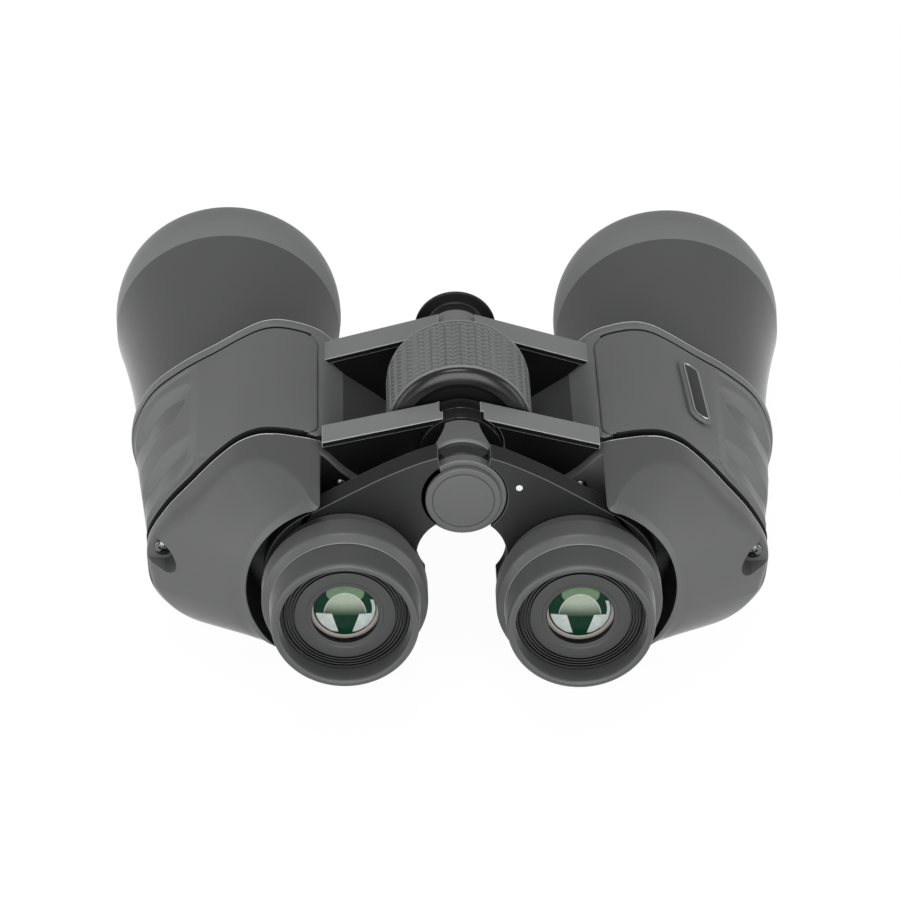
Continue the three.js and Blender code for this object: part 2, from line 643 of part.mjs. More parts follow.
function hingeArm(side, arm) {
  const { front, rear, lugFront, lugRear, lugRadius, topInner, topOuter } = arm;
  const split = (lugFront + lugRear) / 2;
  const ownsFront = side > 0;
  const [, upper, lower] = FACET.map(([x, z]) => [x + OBJECTIVE_SPACING / 2, z - HINGE_RISE]);
  const lugFoot = -lugRadius * 0.92;
  const wing = [
    [ARM_TOP_HALF_GAP, topInner], [ARM_REACH, topOuter], [ARM_REACH, topOuter - ARM_END_HEIGHT],
    [upper[0] + ARM_BURY, upper[1] - ARM_BURY], [lower[0] + ARM_BURY / 2, lower[1] - ARM_BURY],
    [ARM_TOP_HALF_GAP, lugFoot], [ARM_TOP_HALF_GAP - RUNNING_GAP, lugFoot / 2],
    [ARM_TOP_HALF_GAP, 0],
  ];
  const webInner = lugRadius + WEB_CLEAR;
  const webOuter = ARM_REACH - WEB_CLEAR;
  const web = [
    [webInner, slopeAt(arm, webInner) - FLANGE_HEIGHT], [webOuter, topOuter - FLANGE_HEIGHT],
    [upper[0] - WEB_EDGE / 2, upper[1] + WEB_EDGE], [lower[0] - WEB_EDGE / 2, lower[1] + WEB_EDGE],
    [webInner - WEB_EDGE / 2, lugFoot],
  ];
  const webRear = extrudeY(mirrored(web, side), rear + WEB_RECESS, rear - CUT);
  const webFront = extrudeY(mirrored(web, side), front + CUT, front - WEB_RECESS);
  const otherFront = ownsFront ? split + GAP / 2 : lugFront + CUT;
  const otherRear = ownsFront ? lugRear - CUT : split - GAP / 2;
  const clearance = rod(lugRadius + RUNNING_GAP, otherFront, otherRear, MEDIUM);
  const lug = rod(lugRadius, ownsFront ? lugFront : split - GAP / 2,
    ownsFront ? split + GAP / 2 : lugRear, MEDIUM);
  const toBody = [(side * OBJECTIVE_SPACING) / 2, 0, -HINGE_RISE];
  const body = [
    housingStack(side, -GAP).translate(...toBody),
    extrudeY(mirrored(inset(JOINT_OUTLINE, -GAP), side), JOINT_Y, PLATE_REAR).translate(...toBody),
  ];
  const blade = carve([extrudeY(mirrored(wing, side), front, rear)],
    [webRear, webFront, clearance, ...body]);
  const bore = rod(AXLE_RADIUS + RUNNING_GAP, lugFront + CUT, lugRear - CUT, MEDIUM);
  return carve([blade, lug], [bore]);
}

const FRONT_ARM = {
  front: FRONT_ARM_Y, rear: FRONT_ARM_REAR, lugFront: FRONT_LUG_Y, lugRear: FRONT_ARM_REAR,
  lugRadius: FRONT_LUG_RADIUS, topInner: FRONT_ARM_TOP, topOuter: FRONT_ARM_TOP - FRONT_ARM_DROP,
};
const REAR_ARM = {
  front: REAR_ARM_Y, rear: REAR_ARM_REAR, lugFront: REAR_ARM_Y, lugRear: REAR_LUG_REAR,
  lugRadius: REAR_LUG_RADIUS, topInner: REAR_ARM_TOP, topOuter: REAR_ARM_TOP - REAR_ARM_DROP,
};

function frontAxle() {
  const front = FRONT_LUG_Y;
  const rear = WHEEL_FRONT + GAP;
  const solid = rod(AXLE_RADIUS, front, rear, MEDIUM);
  const socket = rod(TRIPOD_SOCKET_RADIUS, front + CUT, TRIPOD_SOCKET_END, COARSE);
  const spindleBore = rod(SPINDLE_RADIUS + RUNNING_GAP, SPINDLE_BORE_FRONT, rear - CUT, COARSE);
  return carve([solid], [socket, spindleBore]);
}

function rearAxle() {
  return tube(AXLE_RADIUS, SPINDLE_RADIUS + RUNNING_GAP, WHEEL_REAR - GAP, REAR_LUG_REAR, MEDIUM);
}

function tripodCap() {
  const neckRear = FRONT_LUG_Y + GAP;
  const headRear = neckRear + TRIPOD_CAP_NECK_LENGTH;
  const front = headRear + TRIPOD_CAP_HEAD;
  const stud = TRIPOD_SOCKET_RADIUS - RUNNING_GAP;
  const studRear = TRIPOD_SOCKET_END + TRIPOD_STUD_CLEARANCE;
  return revolve([
    [0, front], [TRIPOD_CAP_RADIUS - 2 * TRIPOD_CAP_ROUND, front],
    [TRIPOD_CAP_RADIUS - TRIPOD_CAP_ROUND / 2, front - TRIPOD_CAP_ROUND],
    [TRIPOD_CAP_RADIUS, front - 2 * TRIPOD_CAP_ROUND], [TRIPOD_CAP_RADIUS, headRear],
    [TRIPOD_CAP_NECK_RADIUS, headRear], [TRIPOD_CAP_NECK_RADIUS, neckRear],
    [stud, neckRear], [stud, studRear], [0, studRear],
  ], MEDIUM);
}

function focusWheelCore() {
  const shell = WHEEL_RADIUS - GRIP_THICKNESS - GAP;
  const hub = SPINDLE_RADIUS + RUNNING_GAP;
  const gripRear = GRIP_FRONT - GRIP_WIDTH - GAP;
  const rim = WHEEL_RADIUS - WHEEL_RIM_STEP;
  const dish = WHEEL_REAR + WHEEL_DISH;
  return closedRevolve([
    [hub, WHEEL_FRONT], [rim, WHEEL_FRONT], [rim, GRIP_FRONT + GAP],
    [shell, GRIP_FRONT + GAP], [shell, gripRear], [rim, gripRear],
    [rim - WHEEL_SHOULDER, WHEEL_REAR], [rim - 2 * WHEEL_SHOULDER, dish],
    [AXLE_RADIUS + WHEEL_DISH, dish], [AXLE_RADIUS + WHEEL_DISH / 2, WHEEL_REAR], [hub, WHEEL_REAR],
  ]);
}

function focusWheelGrip() {
  return tube(WHEEL_RADIUS, WHEEL_RADIUS - GRIP_THICKNESS, GRIP_FRONT, GRIP_FRONT - GRIP_WIDTH);
}

function focusSpindle() {
  const front = SPINDLE_BORE_FRONT - FOCUS_TRAVEL;
  return rod(SPINDLE_RADIUS, front, BRIDGE_REAR + SPINDLE_END_COVER, COARSE);
}

// short sleeve behind the rear knuckle, waisted towards the front when seen from above
function hingeCollar() {
  const front = REAR_LUG_REAR - GAP;
  const rear = front - COLLAR_LENGTH;
  const waist = [];
  const steps = 4;
  for (let i = 0; i <= steps; i += 1) {
    const share = i / steps;
    const swell = share ** COLLAR_SWELL;
    const half = THREE.MathUtils.lerp(COLLAR_NECK_HALF_WIDTH, COLLAR_RIM_HALF_WIDTH, swell);
    waist.push([half, THREE.MathUtils.lerp(front, rear, share)]);
  }
  const plan = [...waist, ...waist.map(([x, y]) => [-x, y]).reverse()];
  const shape = new THREE.Shape(plan.map(([x, y]) => new THREE.Vector2(x, y)));
  const height = 2 * (COLLAR_RADIUS + CUT);
  const block = new THREE.ExtrudeGeometry(shape, { depth: height, bevelEnabled: false })
    .translate(0, 0, -height / 2);
  const sleeve = tube(COLLAR_RADIUS, SPINDLE_RADIUS + RUNNING_GAP, front, rear, MEDIUM);
  return common(sleeve, block);
}

// ---------------------------------------------------------------- eyepiece bridge
// from the hinge axis: the wing runs from the hinge hub to a ring round the eyepiece
const BRIDGE_TOP_EDGE = [[12.6, 8.8], [20.5, 5.0], [28.0, 0.4], [32.7, -2.0]];

function bridgeArm(side) {
  const eyeX = PUPIL_SPACING / 2;
  const eyeZ = -EYE_TO_HINGE_Z;
  const ownsFront = side > 0;
  const split = (BRIDGE_FRONT + BRIDGE_REAR) / 2;
  const archZ = eyeZ + BRIDGE_ARCH_RISE;
  const wing = [
    [BRIDGE_TOP_HALF_GAP, BRIDGE_TOP], ...BRIDGE_TOP_EDGE,
    [eyeX, eyeZ], [BRIDGE_ARCH_RADIUS, archZ], [SPINDLE_RADIUS + CUT, archZ],
    [SPINDLE_RADIUS + CUT, 0],
  ];
  const outer = (outline) => extrudeY(mirrored(outline, side), BRIDGE_FRONT, BRIDGE_REAR);
  const throughBridge = (radius, sides) => rod(radius, BRIDGE_FRONT + CUT, BRIDGE_REAR - CUT, sides);
  const otherLug = rod(BRIDGE_LUG_RADIUS + RUNNING_GAP,
    ownsFront ? split + GAP / 2 : BRIDGE_FRONT + CUT,
    ownsFront ? BRIDGE_REAR - CUT : split - GAP / 2, MEDIUM);
  const arch = throughBridge(BRIDGE_ARCH_RADIUS, FINE).translate(0, 0, archZ);
  const plate = carve([outer(wing), outer(circle(eyeX, eyeZ, BRIDGE_RING_RADIUS))], [otherLug, arch]);
  const lug = rod(BRIDGE_LUG_RADIUS, ownsFront ? BRIDGE_FRONT : split - GAP / 2,
    ownsFront ? split + GAP / 2 : BRIDGE_REAR, MEDIUM);
  const eyeBore = throughBridge(TUBE_BORE, FINE).translate(side * eyeX, 0, eyeZ);
  const hubBore = throughBridge(SPINDLE_RADIUS + RUNNING_GAP, COARSE);
  return carve([plate, lug], [eyeBore, hubBore]);
}

function bridgeCap() {
  const front = BRIDGE_REAR - GAP;
  const rear = front - BRIDGE_CAP_THICKNESS;
  return revolve([
    [0, front], [BRIDGE_CAP_RADIUS, front], [BRIDGE_CAP_RADIUS, rear + EDGE_BEVEL],
    [BRIDGE_CAP_RADIUS - EDGE_BEVEL, rear], [0, rear],
  ], MEDIUM);
}

// ---------------------------------------------------------------- eyepiece, from its own axis
function eyepieceTube() {
  const shoulder = BRIDGE_FRONT + TUBE_SHOULDER;
  return closedRevolve([
    [TUBE_NOSE_RADIUS - TUBE_WALL, TUBE_NOSE_FRONT], [TUBE_NOSE_RADIUS, TUBE_NOSE_FRONT],
    [TUBE_NOSE_RADIUS, shoulder], [TUBE_RADIUS, shoulder], [TUBE_RADIUS, TUBE_REAR],
    [TUBE_RADIUS - TUBE_WALL, TUBE_REAR], [TUBE_RADIUS - TUBE_WALL, BRIDGE_FRONT - TUBE_WALL],
    [TUBE_NOSE_RADIUS - TUBE_WALL, BRIDGE_FRONT - TUBE_WALL],
  ]);
}

function baseRing() {
  const front = BRIDGE_REAR - GAP;
  return closedRevolve([
    [TUBE_BORE, front], [BASE_RING_RADIUS, front], [BASE_RING_RADIUS, BASE_RING_REAR + EDGE_BEVEL],
    [BASE_RING_RADIUS - EDGE_BEVEL, BASE_RING_REAR], [TUBE_BORE, BASE_RING_REAR],
  ]);
}

function eyeRing() {
  const skirt = BASE_RING_RADIUS + GAP;
  const skirtRear = EYE_RING_FRONT - EYE_RING_SKIRT;
  return closedRevolve([
    [skirt, EYE_RING_FRONT], [EYE_RING_RADIUS - EDGE_BEVEL, EYE_RING_FRONT],
    [EYE_RING_RADIUS, EYE_RING_FRONT - EDGE_BEVEL],
    [EYE_RING_RADIUS, EYE_RING_REAR + EYE_RING_CHAMFER],
    [EYECUP_RADIUS, EYE_RING_REAR], [TUBE_BORE, EYE_RING_REAR],
    [TUBE_BORE, skirtRear], [skirt, skirtRear],
  ]);
}

function eyecup() {
  const mouth = EYECUP_MOUTH_RADIUS;
  return closedRevolve([
    [mouth, EYECUP_FRONT], [EYECUP_RADIUS, EYECUP_FRONT],
    [EYECUP_RADIUS - EYECUP_TAPER, EYECUP_REAR + EYECUP_ROUND],
    [EYECUP_RADIUS - EYECUP_TAPER - EYECUP_ROUND / 2, EYECUP_REAR],
    [mouth + EDGE_BEVEL, EYECUP_REAR], [mouth, EYECUP_REAR + 2 * EDGE_BEVEL],
  ]);
}

function bezel() {
  return closedRevolve([
    [BEZEL_HOLE_RADIUS + EDGE_BEVEL, BEZEL_FRONT], [EYECUP_MOUTH_RADIUS - GAP, BEZEL_FRONT],
    [EYECUP_MOUTH_RADIUS - GAP, BEZEL_REAR], [BEZEL_HOLE_RADIUS + EDGE_BEVEL, BEZEL_REAR],
    [BEZEL_HOLE_RADIUS, BEZEL_REAR + EDGE_BEVEL],
  ]);
}

const OCULAR_RADIUS = TUBE_RADIUS - TUBE_WALL - RUNNING_GAP;
const OCULAR_FRONT = BRIDGE_FRONT - OCULAR_SET_BACK;
const OCULAR_REAR = BEZEL_FRONT + GAP;
const EYE_LENS_REAR = OCULAR_REAR + EYE_LENS_BULGE + GAP;

function ocularBarrel() {
  const bore = FIELD_LENS_RADIUS + GAP;
  const eyeBore = EYE_LENS_RADIUS + GAP;
  const step = OCULAR_REAR + OCULAR_EYE_SEAT;
  return closedRevolve([
    [bore, OCULAR_FRONT], [OCULAR_RADIUS, OCULAR_FRONT], [OCULAR_RADIUS, OCULAR_REAR],
    [eyeBore, OCULAR_REAR], [eyeBore, step], [bore, step],
  ]);
}

function eyeLens() {
  const front = EYE_LENS_REAR + EYE_LENS_EDGE;
  return bulgedLens(EYE_LENS_RADIUS, EYE_LENS_EDGE, EYE_LENS_BULGE, front, MEDIUM);
}

function fieldLens() {
  const front = OCULAR_FRONT - FIELD_LENS_SET_BACK;
  return bulgedLens(FIELD_LENS_RADIUS, FIELD_LENS_EDGE, FIELD_LENS_BULGE, front, MEDIUM);
}

// ---------------------------------------------------------------- fasteners and trim
// a pan-headed screw with a cross slot, its head on the cover's low plate
function coverScrew() {
  const seat = PLATE_REAR - GAP;
  const crown = PLATE_REAR - SCREW_HEAD_HEIGHT;
  const end = PLATE_REAR + SCREW_LENGTH;
  const body = revolve([
    [0, crown], [SCREW_HEAD_RADIUS / 2, crown], [SCREW_HEAD_RADIUS, (seat + crown) / 2],
    [SCREW_HEAD_RADIUS, seat], [SCREW_SHANK_RADIUS, seat], [SCREW_SHANK_RADIUS, end], [0, end],
  ], COARSE);
  const slot = (width, height) => (
    new THREE.BoxGeometry(width, SCREW_HEAD_HEIGHT, height).translate(0, crown, 0));
  const slots = [slot(CROSS_SLOT_LENGTH, CROSS_SLOT_WIDTH), slot(CROSS_SLOT_WIDTH, CROSS_SLOT_LENGTH)];
  return carve([body], slots);
}

// ---------------------------------------------------------------- assembly
const FINISHES = {
  armour: { color: 0x646567, roughness: 0.62, metalness: 0.0 },
  casting: { color: 0x58595b, roughness: 0.5, metalness: 0.1 },
  rubber: { color: 0x6a6b6d, roughness: 0.75, metalness: 0.0 },
  black: { color: 0x151516, roughness: 0.35, metalness: 0.0 },
  screw: { color: 0x1c1c1e, roughness: 0.3, metalness: 0.8 },
  metal: { color: 0x8c8d90, roughness: 0.35, metalness: 1.0 },
  brass: { color: 0xa98a4a, roughness: 0.35, metalness: 1.0 },
  glass: { color: 0x2f5a50, roughness: 0.05, metalness: 0.0 },
};

function piece(name, geometry, finish) {
  const closed = toGeometry(toSolid(geometry));
  const mesh = new THREE.Mesh(closed, new THREE.MeshStandardMaterial(FINISHES[finish]));
  mesh.name = name;
  return mesh;
}

function groupAt(x, z, children) {
  const group = new THREE.Group();
  group.position.set(x, 0, z);
  group.add(...children);
  return group;
}

function badge() {
  const [x, y] = [BADGE_WIDTH / 2, BADGE_LENGTH / 2];
  const shape = new THREE.Shape([
    [-x - BADGE_LEAN, y], [x - BADGE_LEAN, y], [x + BADGE_LEAN, -y], [-x + BADGE_LEAN, -y],
  ].map((corner) => new THREE.Vector2(...corner)));
  return new THREE.ExtrudeGeometry(shape, { depth: BADGE_THICKNESS, bevelEnabled: false });
}

const model = new THREE.Group();

for (const [label, side] of [['left', -1], ['right', 1]]) {
  const named = (name, geometry, finish) => piece(`${label}_${name}`, geometry, finish);
  const { rear: rearPrism, front: frontPrism } = prisms(side);
  const screws = [['outer', OUTER_SCREW], ['inner', INNER_SCREW]].map(([place, [x, z]]) => {
    const screw = named(`${place}_cover_screw`, coverScrew(), 'screw');
    screw.position.set(side * x, 0, z);
    return screw;
  });
  model.add(groupAt((side * OBJECTIVE_SPACING) / 2, OBJECTIVE_Z, [
    named('prism_housing', prismHousing(side), 'casting'),
    named('grip_panel', gripPanel(side), 'armour'),
    named('rear_cover', rearCover(side), 'casting'),
    named('rear_prism', rearPrism, 'glass'),
    named('front_prism', frontPrism, 'glass'),
    named('prism_shelf', prismShelf(side), 'metal'),
    named('objective_barrel', objectiveBarrel(), 'casting'),
    named('objective_hood', objectiveHood(), 'rubber'),
    named('objective_cell', objectiveCell(), 'black'),
    named('objective_lens',
      bulgedLens(LENS_RADIUS, LENS_EDGE, LENS_BULGE, LENS_REAR + LENS_EDGE), 'glass'),
    named('lens_retaining_ring', retainingRing(), 'black'),
    ...screws,
  ]));
  model.add(groupAt(0, OBJECTIVE_Z + HINGE_RISE, [
    named('front_hinge_arm', hingeArm(side, FRONT_ARM), 'casting'),
    named('rear_hinge_arm', hingeArm(side, REAR_ARM), 'casting'),
    named('bridge_arm', bridgeArm(side), 'black'),
  ]));
  model.add(groupAt((side * PUPIL_SPACING) / 2, OBJECTIVE_Z + EYEPIECE_RISE, [
    named('eyepiece_tube', eyepieceTube(), 'metal'),
    named('eyepiece_base_ring', baseRing(), 'casting'),
    named(side < 0 ? 'eyepiece_ring' : 'diopter_ring', eyeRing(), 'rubber'),
    named('eyecup', eyecup(), 'rubber'),
    named('ocular_barrel', ocularBarrel(), 'black'),
    named('ocular_bezel', bezel(), 'black'),
    named('eye_lens', eyeLens(), 'glass'),
    named('field_lens', fieldLens(), 'glass'),
  ]));
}

model.add(groupAt(0, OBJECTIVE_Z + HINGE_RISE, [
  piece('front_hinge_axle', frontAxle(), 'metal'),
  piece('rear_hinge_axle', rearAxle(), 'metal'),
  piece('tripod_socket_cap', tripodCap(), 'black'),
  piece('focus_wheel', focusWheelCore(), 'black'),
  piece('focus_wheel_grip', focusWheelGrip(), 'rubber'),
  piece('focus_spindle', focusSpindle(), 'brass'),
  piece('hinge_collar', hingeCollar(), 'casting'),
  piece('bridge_hub_cap', bridgeCap(), 'casting'),
]));

const plate = piece('right_badge_plate', badge(), 'black');
plate.rotation.y = THREE.MathUtils.degToRad(BADGE_TILT);
plate.position.set(
  OBJECTIVE_SPACING / 2 + BADGE_PLACE[0], BADGE_PLACE[1], OBJECTIVE_Z + BADGE_PLACE[2]);
model.add(plate);

export default model;
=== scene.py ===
"""Porro-prism binoculars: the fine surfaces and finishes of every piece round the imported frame.

Shapes are worked out in millimetres in the frame's own axes: X to the user's right, Y forward
along the optical axes, Z up. A piece of the right half is drawn with X measured from its
objective axis, and the left half is its mirror image.
"""

import json
import logging
from dataclasses import dataclass
from enum import Enum
from typing import Callable, Iterable, Optional, Sequence, Union

import bmesh
import bpy
import numpy as np
from mathutils import Matrix, Vector

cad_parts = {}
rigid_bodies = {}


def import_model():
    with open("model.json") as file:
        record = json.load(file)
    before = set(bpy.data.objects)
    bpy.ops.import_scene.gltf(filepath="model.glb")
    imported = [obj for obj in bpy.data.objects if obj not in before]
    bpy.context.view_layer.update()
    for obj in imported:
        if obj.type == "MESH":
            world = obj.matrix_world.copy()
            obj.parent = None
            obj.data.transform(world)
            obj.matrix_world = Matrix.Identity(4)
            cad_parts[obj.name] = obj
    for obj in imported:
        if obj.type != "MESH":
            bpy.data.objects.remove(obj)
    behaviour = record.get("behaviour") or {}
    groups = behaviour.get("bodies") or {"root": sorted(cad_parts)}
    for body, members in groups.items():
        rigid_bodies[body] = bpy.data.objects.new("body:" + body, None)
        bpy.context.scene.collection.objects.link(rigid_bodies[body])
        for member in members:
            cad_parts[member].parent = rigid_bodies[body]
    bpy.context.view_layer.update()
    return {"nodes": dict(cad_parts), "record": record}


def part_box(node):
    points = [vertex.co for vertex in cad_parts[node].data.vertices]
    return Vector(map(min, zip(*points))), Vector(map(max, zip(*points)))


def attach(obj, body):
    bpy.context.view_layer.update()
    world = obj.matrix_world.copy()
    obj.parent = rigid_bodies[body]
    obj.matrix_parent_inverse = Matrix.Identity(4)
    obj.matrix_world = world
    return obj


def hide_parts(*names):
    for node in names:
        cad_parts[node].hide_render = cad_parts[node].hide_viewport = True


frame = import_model()

log = logging.getLogger("binoculars")
Array = np.ndarray

MM = 0.001
ROUND_SIDES = 192
SMALL_SIDES = 64
EDGE_STEPS = 5
OUTLINE_POINTS = 480
MOST_OF_SIDE = 0.49
WELD = 1e-6
SHARP_ANGLE = 38.0


# ---- planar curves
def corner_curves(corner: Array, reach: Array, steps: int) -> tuple[Array, Array]:
    """The parabolas that round the corners of a closed polyline, or of a stack of them.

    Args:
        corner: the corners, each two numbers.
        reach: how far each curve reaches along its two sides, just under half a side at most.
        steps: spans in each curve.

    Returns:
        The curves' points, and how far each curve reaches.
    """
    before = np.roll(corner, 1, axis=-2) - corner
    after = np.roll(corner, -1, axis=-2) - corner
    length_before = np.linalg.norm(before, axis=-1, keepdims=True)
    length_after = np.linalg.norm(after, axis=-1, keepdims=True)
    cut = np.minimum(reach[..., None], MOST_OF_SIDE * np.minimum(length_before, length_after))
    start, end = (corner + way / length * cut
                  for way, length in ((before, length_before), (after, length_after)))
    share = np.linspace(0.0, 1.0, steps + 1)[:, None]
    curve = ((1 - share) ** 2 * start[..., None, :]
             + 2 * share * (1 - share) * corner[..., None, :] + share ** 2 * end[..., None, :])
    return curve, cut[..., 0]


def rounded(points: Sequence, radius: Union[float, Sequence[float]], closed: bool = True,
            steps: int = EDGE_STEPS) -> Array:
    """Rounds the corners of a polyline.

    Args:
        points: corners in the plane.
        radius: one reach for all corners, or one for each.
        closed: whether the last point joins the first.
        steps: spans in each rounded corner.

    Returns:
        The rounded polyline.
    """
    corner = np.asarray(points, float)
    reach = np.broadcast_to(np.asarray(radius, float), len(corner)).copy()
    if not closed:
        reach[[0, -1]] = 0.0
    curve, cut = corner_curves(corner, reach, steps)
    keep = np.ones((len(corner), steps + 1), bool)
    keep[cut < 1e-9, 1:] = False
    return curve[keep]


def arc(centre: Sequence[float], radius: float, start: float, end: float, spans: int) -> Array:
    """Points on a circle from one angle to another, both in degrees."""
    angle = np.radians(np.linspace(start, end, spans + 1))
    return np.stack([centre[0] + radius * np.cos(angle), centre[1] + radius * np.sin(angle)], 1)


def spaced(curve: Array, count: int, closed: bool = True) -> Array:
    """Points at equal steps of arc length along a polyline.

    Args:
        curve: the polyline.
        count: how many points to give.
        closed: whether the last point joins the first.

    Returns:
        The points, without a repeat of the first on a closed curve.
    """
    line = np.vstack([curve, curve[:1]]) if closed else curve
    run = np.r_[0.0, np.cumsum(np.linalg.norm(np.diff(line, axis=0), axis=1))]
    place = np.linspace(0.0, run[-1], count, endpoint=not closed)
    return np.stack([np.interp(place, run, line[:, k]) for k in range(line.shape[1])], 1)


def smooth(points: Sequence, count: int = OUTLINE_POINTS, closed: bool = True) -> Array:
    """Centripetal Catmull-Rom curve through points, at equal steps of arc length.

    Args:
        points: the points that the curve passes through.
        count: how many points to give.
        closed: whether the curve joins up.

    Returns:
        The curve's points.
    """
    knot = np.asarray(points, float)
    if closed:
        p0, p1 = np.roll(knot, 1, axis=0), knot
        p2, p3 = np.roll(knot, -1, axis=0), np.roll(knot, -2, axis=0)
    else:
        padded = np.vstack([2 * knot[0] - knot[1], knot, 2 * knot[-1] - knot[-2]])
        p0, p1, p2, p3 = padded[:-3], padded[1:-2], padded[2:-1], padded[3:]
    d0, d1, d2 = (np.sqrt(np.linalg.norm(b - a, axis=1))[:, None]
                  for a, b in ((p0, p1), (p1, p2), (p2, p3)))
    leave = ((p1 - p0) / d0 - (p2 - p0) / (d0 + d1) + (p2 - p1) / d1) * d1
    arrive = ((p2 - p1) / d1 - (p3 - p1) / (d1 + d2) + (p3 - p2) / d2) * d1
    t = np.linspace(0.0, 1.0, 48, endpoint=False)[None, :, None]
    a, b, c, d = (v[:, None] for v in (p1, leave, p2, arrive))
    spans = (a + b * t + (3 * (c - a) - 2 * b - d) * t ** 2 + (2 * (a - c) + b + d) * t ** 3)
    dense = spans.reshape(-1, knot.shape[1])
    if not closed:
        dense = np.vstack([dense, knot[-1:]])
    return spaced(dense, count, closed)


def normals(outline: Array) -> Array:
    """Unit normals of a closed outline, to the right of its direction of travel.

    Args:
        outline: the closed outline.

    Returns:
        One normal for each point.
    """
    run = np.roll(outline, -1, axis=0) - np.roll(outline, 1, axis=0)
    run /= np.linalg.norm(run, axis=1)[:, None] + 1e-12
    return np.stack([run[:, 1], -run[:, 0]], 1)


def signed_area(outline: Array) -> float:
    """Area of a closed outline, above zero where it runs anticlockwise."""
    x, z = outline.T
    return 0.5 * float(np.sum(x * np.roll(z, -1) - np.roll(x, -1) * z))


def inset(outline: Array, distance: float) -> Array:
    """A closed outline moved inwards along its normals."""
    return outline - np.sign(signed_area(outline)) * normals(outline) * distance


def ease(value: Array) -> Array:
    """Smooth step from 0 to 1: 3v² - 2v³, held level outside that span."""
    v = np.clip(value, 0.0, 1.0)
    return v * v * (3.0 - 2.0 * v)


def quarter(points: int) -> Array:
    """Angles at equal steps through a quarter turn, in radians."""
    return np.linspace(0.0, np.pi / 2, points)


def within(values: Array, low: float, high: float) -> Array:
    """True where values lie between two limits."""
    return (values > low) & (values < high)


# ---- meshes
class Shell:
    """Faces gathered from point grids and flat caps, in millimetres."""

    def __init__(self) -> None:
        """Starts an empty shell."""
        self.points: list[Array] = []
        self.faces: list[Array] = []
        self.count = 0

    def _add(self, points: Array) -> int:
        """Stores points and gives the index of the first.

        Args:
            points: any stack of points.

        Returns:
            The index of the first.
        """
        first = self.count
        self.points.append(np.asarray(points, float).reshape(-1, 3))
        self.count += len(self.points[-1])
        return first

    def grid(self, points: Array, wrap_rows: bool = False, wrap_columns: bool = False) -> "Shell":
        """Adds the quads of a grid of points.

        Args:
            points: rows by columns by three.
            wrap_rows: joins the last row to the first.
            wrap_columns: joins the last column to the first.

        Returns:
            This shell.
        """
        rows, columns = points.shape[:2]
        index = self._add(points) + np.arange(rows * columns).reshape(rows, columns)
        if wrap_rows:
            index = np.vstack([index, index[:1]])
        if wrap_columns:
            index = np.hstack([index, index[:, :1]])
        self.faces.append(np.stack(
            [index[:-1, :-1], index[:-1, 1:], index[1:, 1:], index[1:, :-1]], -1).reshape(-1, 4))
        return self

    def cap(self, loop: Array) -> "Shell":
        """Adds one flat face inside a closed loop of points."""
        self.faces.append(self._add(loop) + np.arange(len(loop))[None, :])
        return self

    def moved(self, by: Array) -> "Shell":
        """This shell, shifted."""
        self.points = [p + by for p in self.points]
        return self

    def mirrored(self, side: int) -> "Shell":
        """This shell, mirrored in the YZ plane where side is -1."""
        self.points = [p * np.array([side, 1.0, 1.0]) for p in self.points]
        return self

    def turned(self, matrix: Matrix) -> "Shell":
        """This shell, put through a 3 by 3 turn."""
        self.points = [p @ np.array(matrix).T for p in self.points]
        return self

    def mesh(self, name: str) -> bpy.types.Mesh:
        """Makes the mesh: doubles merged, faces outward, smooth but for its sharp edges.

        Args:
            name: the mesh's name.

        Returns:
            The mesh, in metres.
        """
        corners = np.concatenate([f.ravel() for f in self.faces]).astype(np.int32)
        sizes = np.concatenate([np.full(len(f), f.shape[1]) for f in self.faces]).astype(np.int32)
        mesh = bpy.data.meshes.new(name)
        mesh.vertices.add(self.count)
        mesh.vertices.foreach_set("co", (np.vstack(self.points) * MM).astype(np.float32).ravel())
        mesh.loops.add(len(corners))
        mesh.loops.foreach_set("vertex_index", corners)
        mesh.polygons.add(len(sizes))
        starts = np.r_[0, np.cumsum(sizes)[:-1]].astype(np.int32)
        mesh.polygons.foreach_set("loop_start", starts)
        mesh.update(calc_edges=True)
        tidy = bmesh.new()
        tidy.from_mesh(mesh)
        bmesh.ops.remove_doubles(tidy, verts=tidy.verts, dist=WELD)
        bmesh.ops.dissolve_degenerate(tidy, edges=tidy.edges, dist=WELD / 2)
        bmesh.ops.recalc_face_normals(tidy, faces=tidy.faces)
        tidy.to_mesh(mesh)
        tidy.free()
        return smoothed(mesh)


def smoothed(mesh: bpy.types.Mesh) -> bpy.types.Mesh:
    """Shades a mesh smooth but for its sharp edges.

    Args:
        mesh: the mesh.

    Returns:
        The same mesh.
    """
    mesh.polygons.foreach_set("use_smooth", np.ones(len(mesh.polygons), bool))
    mesh.set_sharp_from_angle(angle=np.radians(SHARP_ANGLE))
    return mesh


def merged(mesh: bpy.types.Mesh, *others: bpy.types.Mesh) -> bpy.types.Mesh:
    """Adds whole meshes to another.

    Args:
        mesh: the mesh that takes them in.
        others: meshes that are added and then removed.

    Returns:
        The first mesh.
    """
    every = bmesh.new()
    for part in (mesh, *others):
        every.from_mesh(part)
    every.to_mesh(mesh)
    every.free()
    for part in others:
        bpy.data.meshes.remove(part)
    return mesh


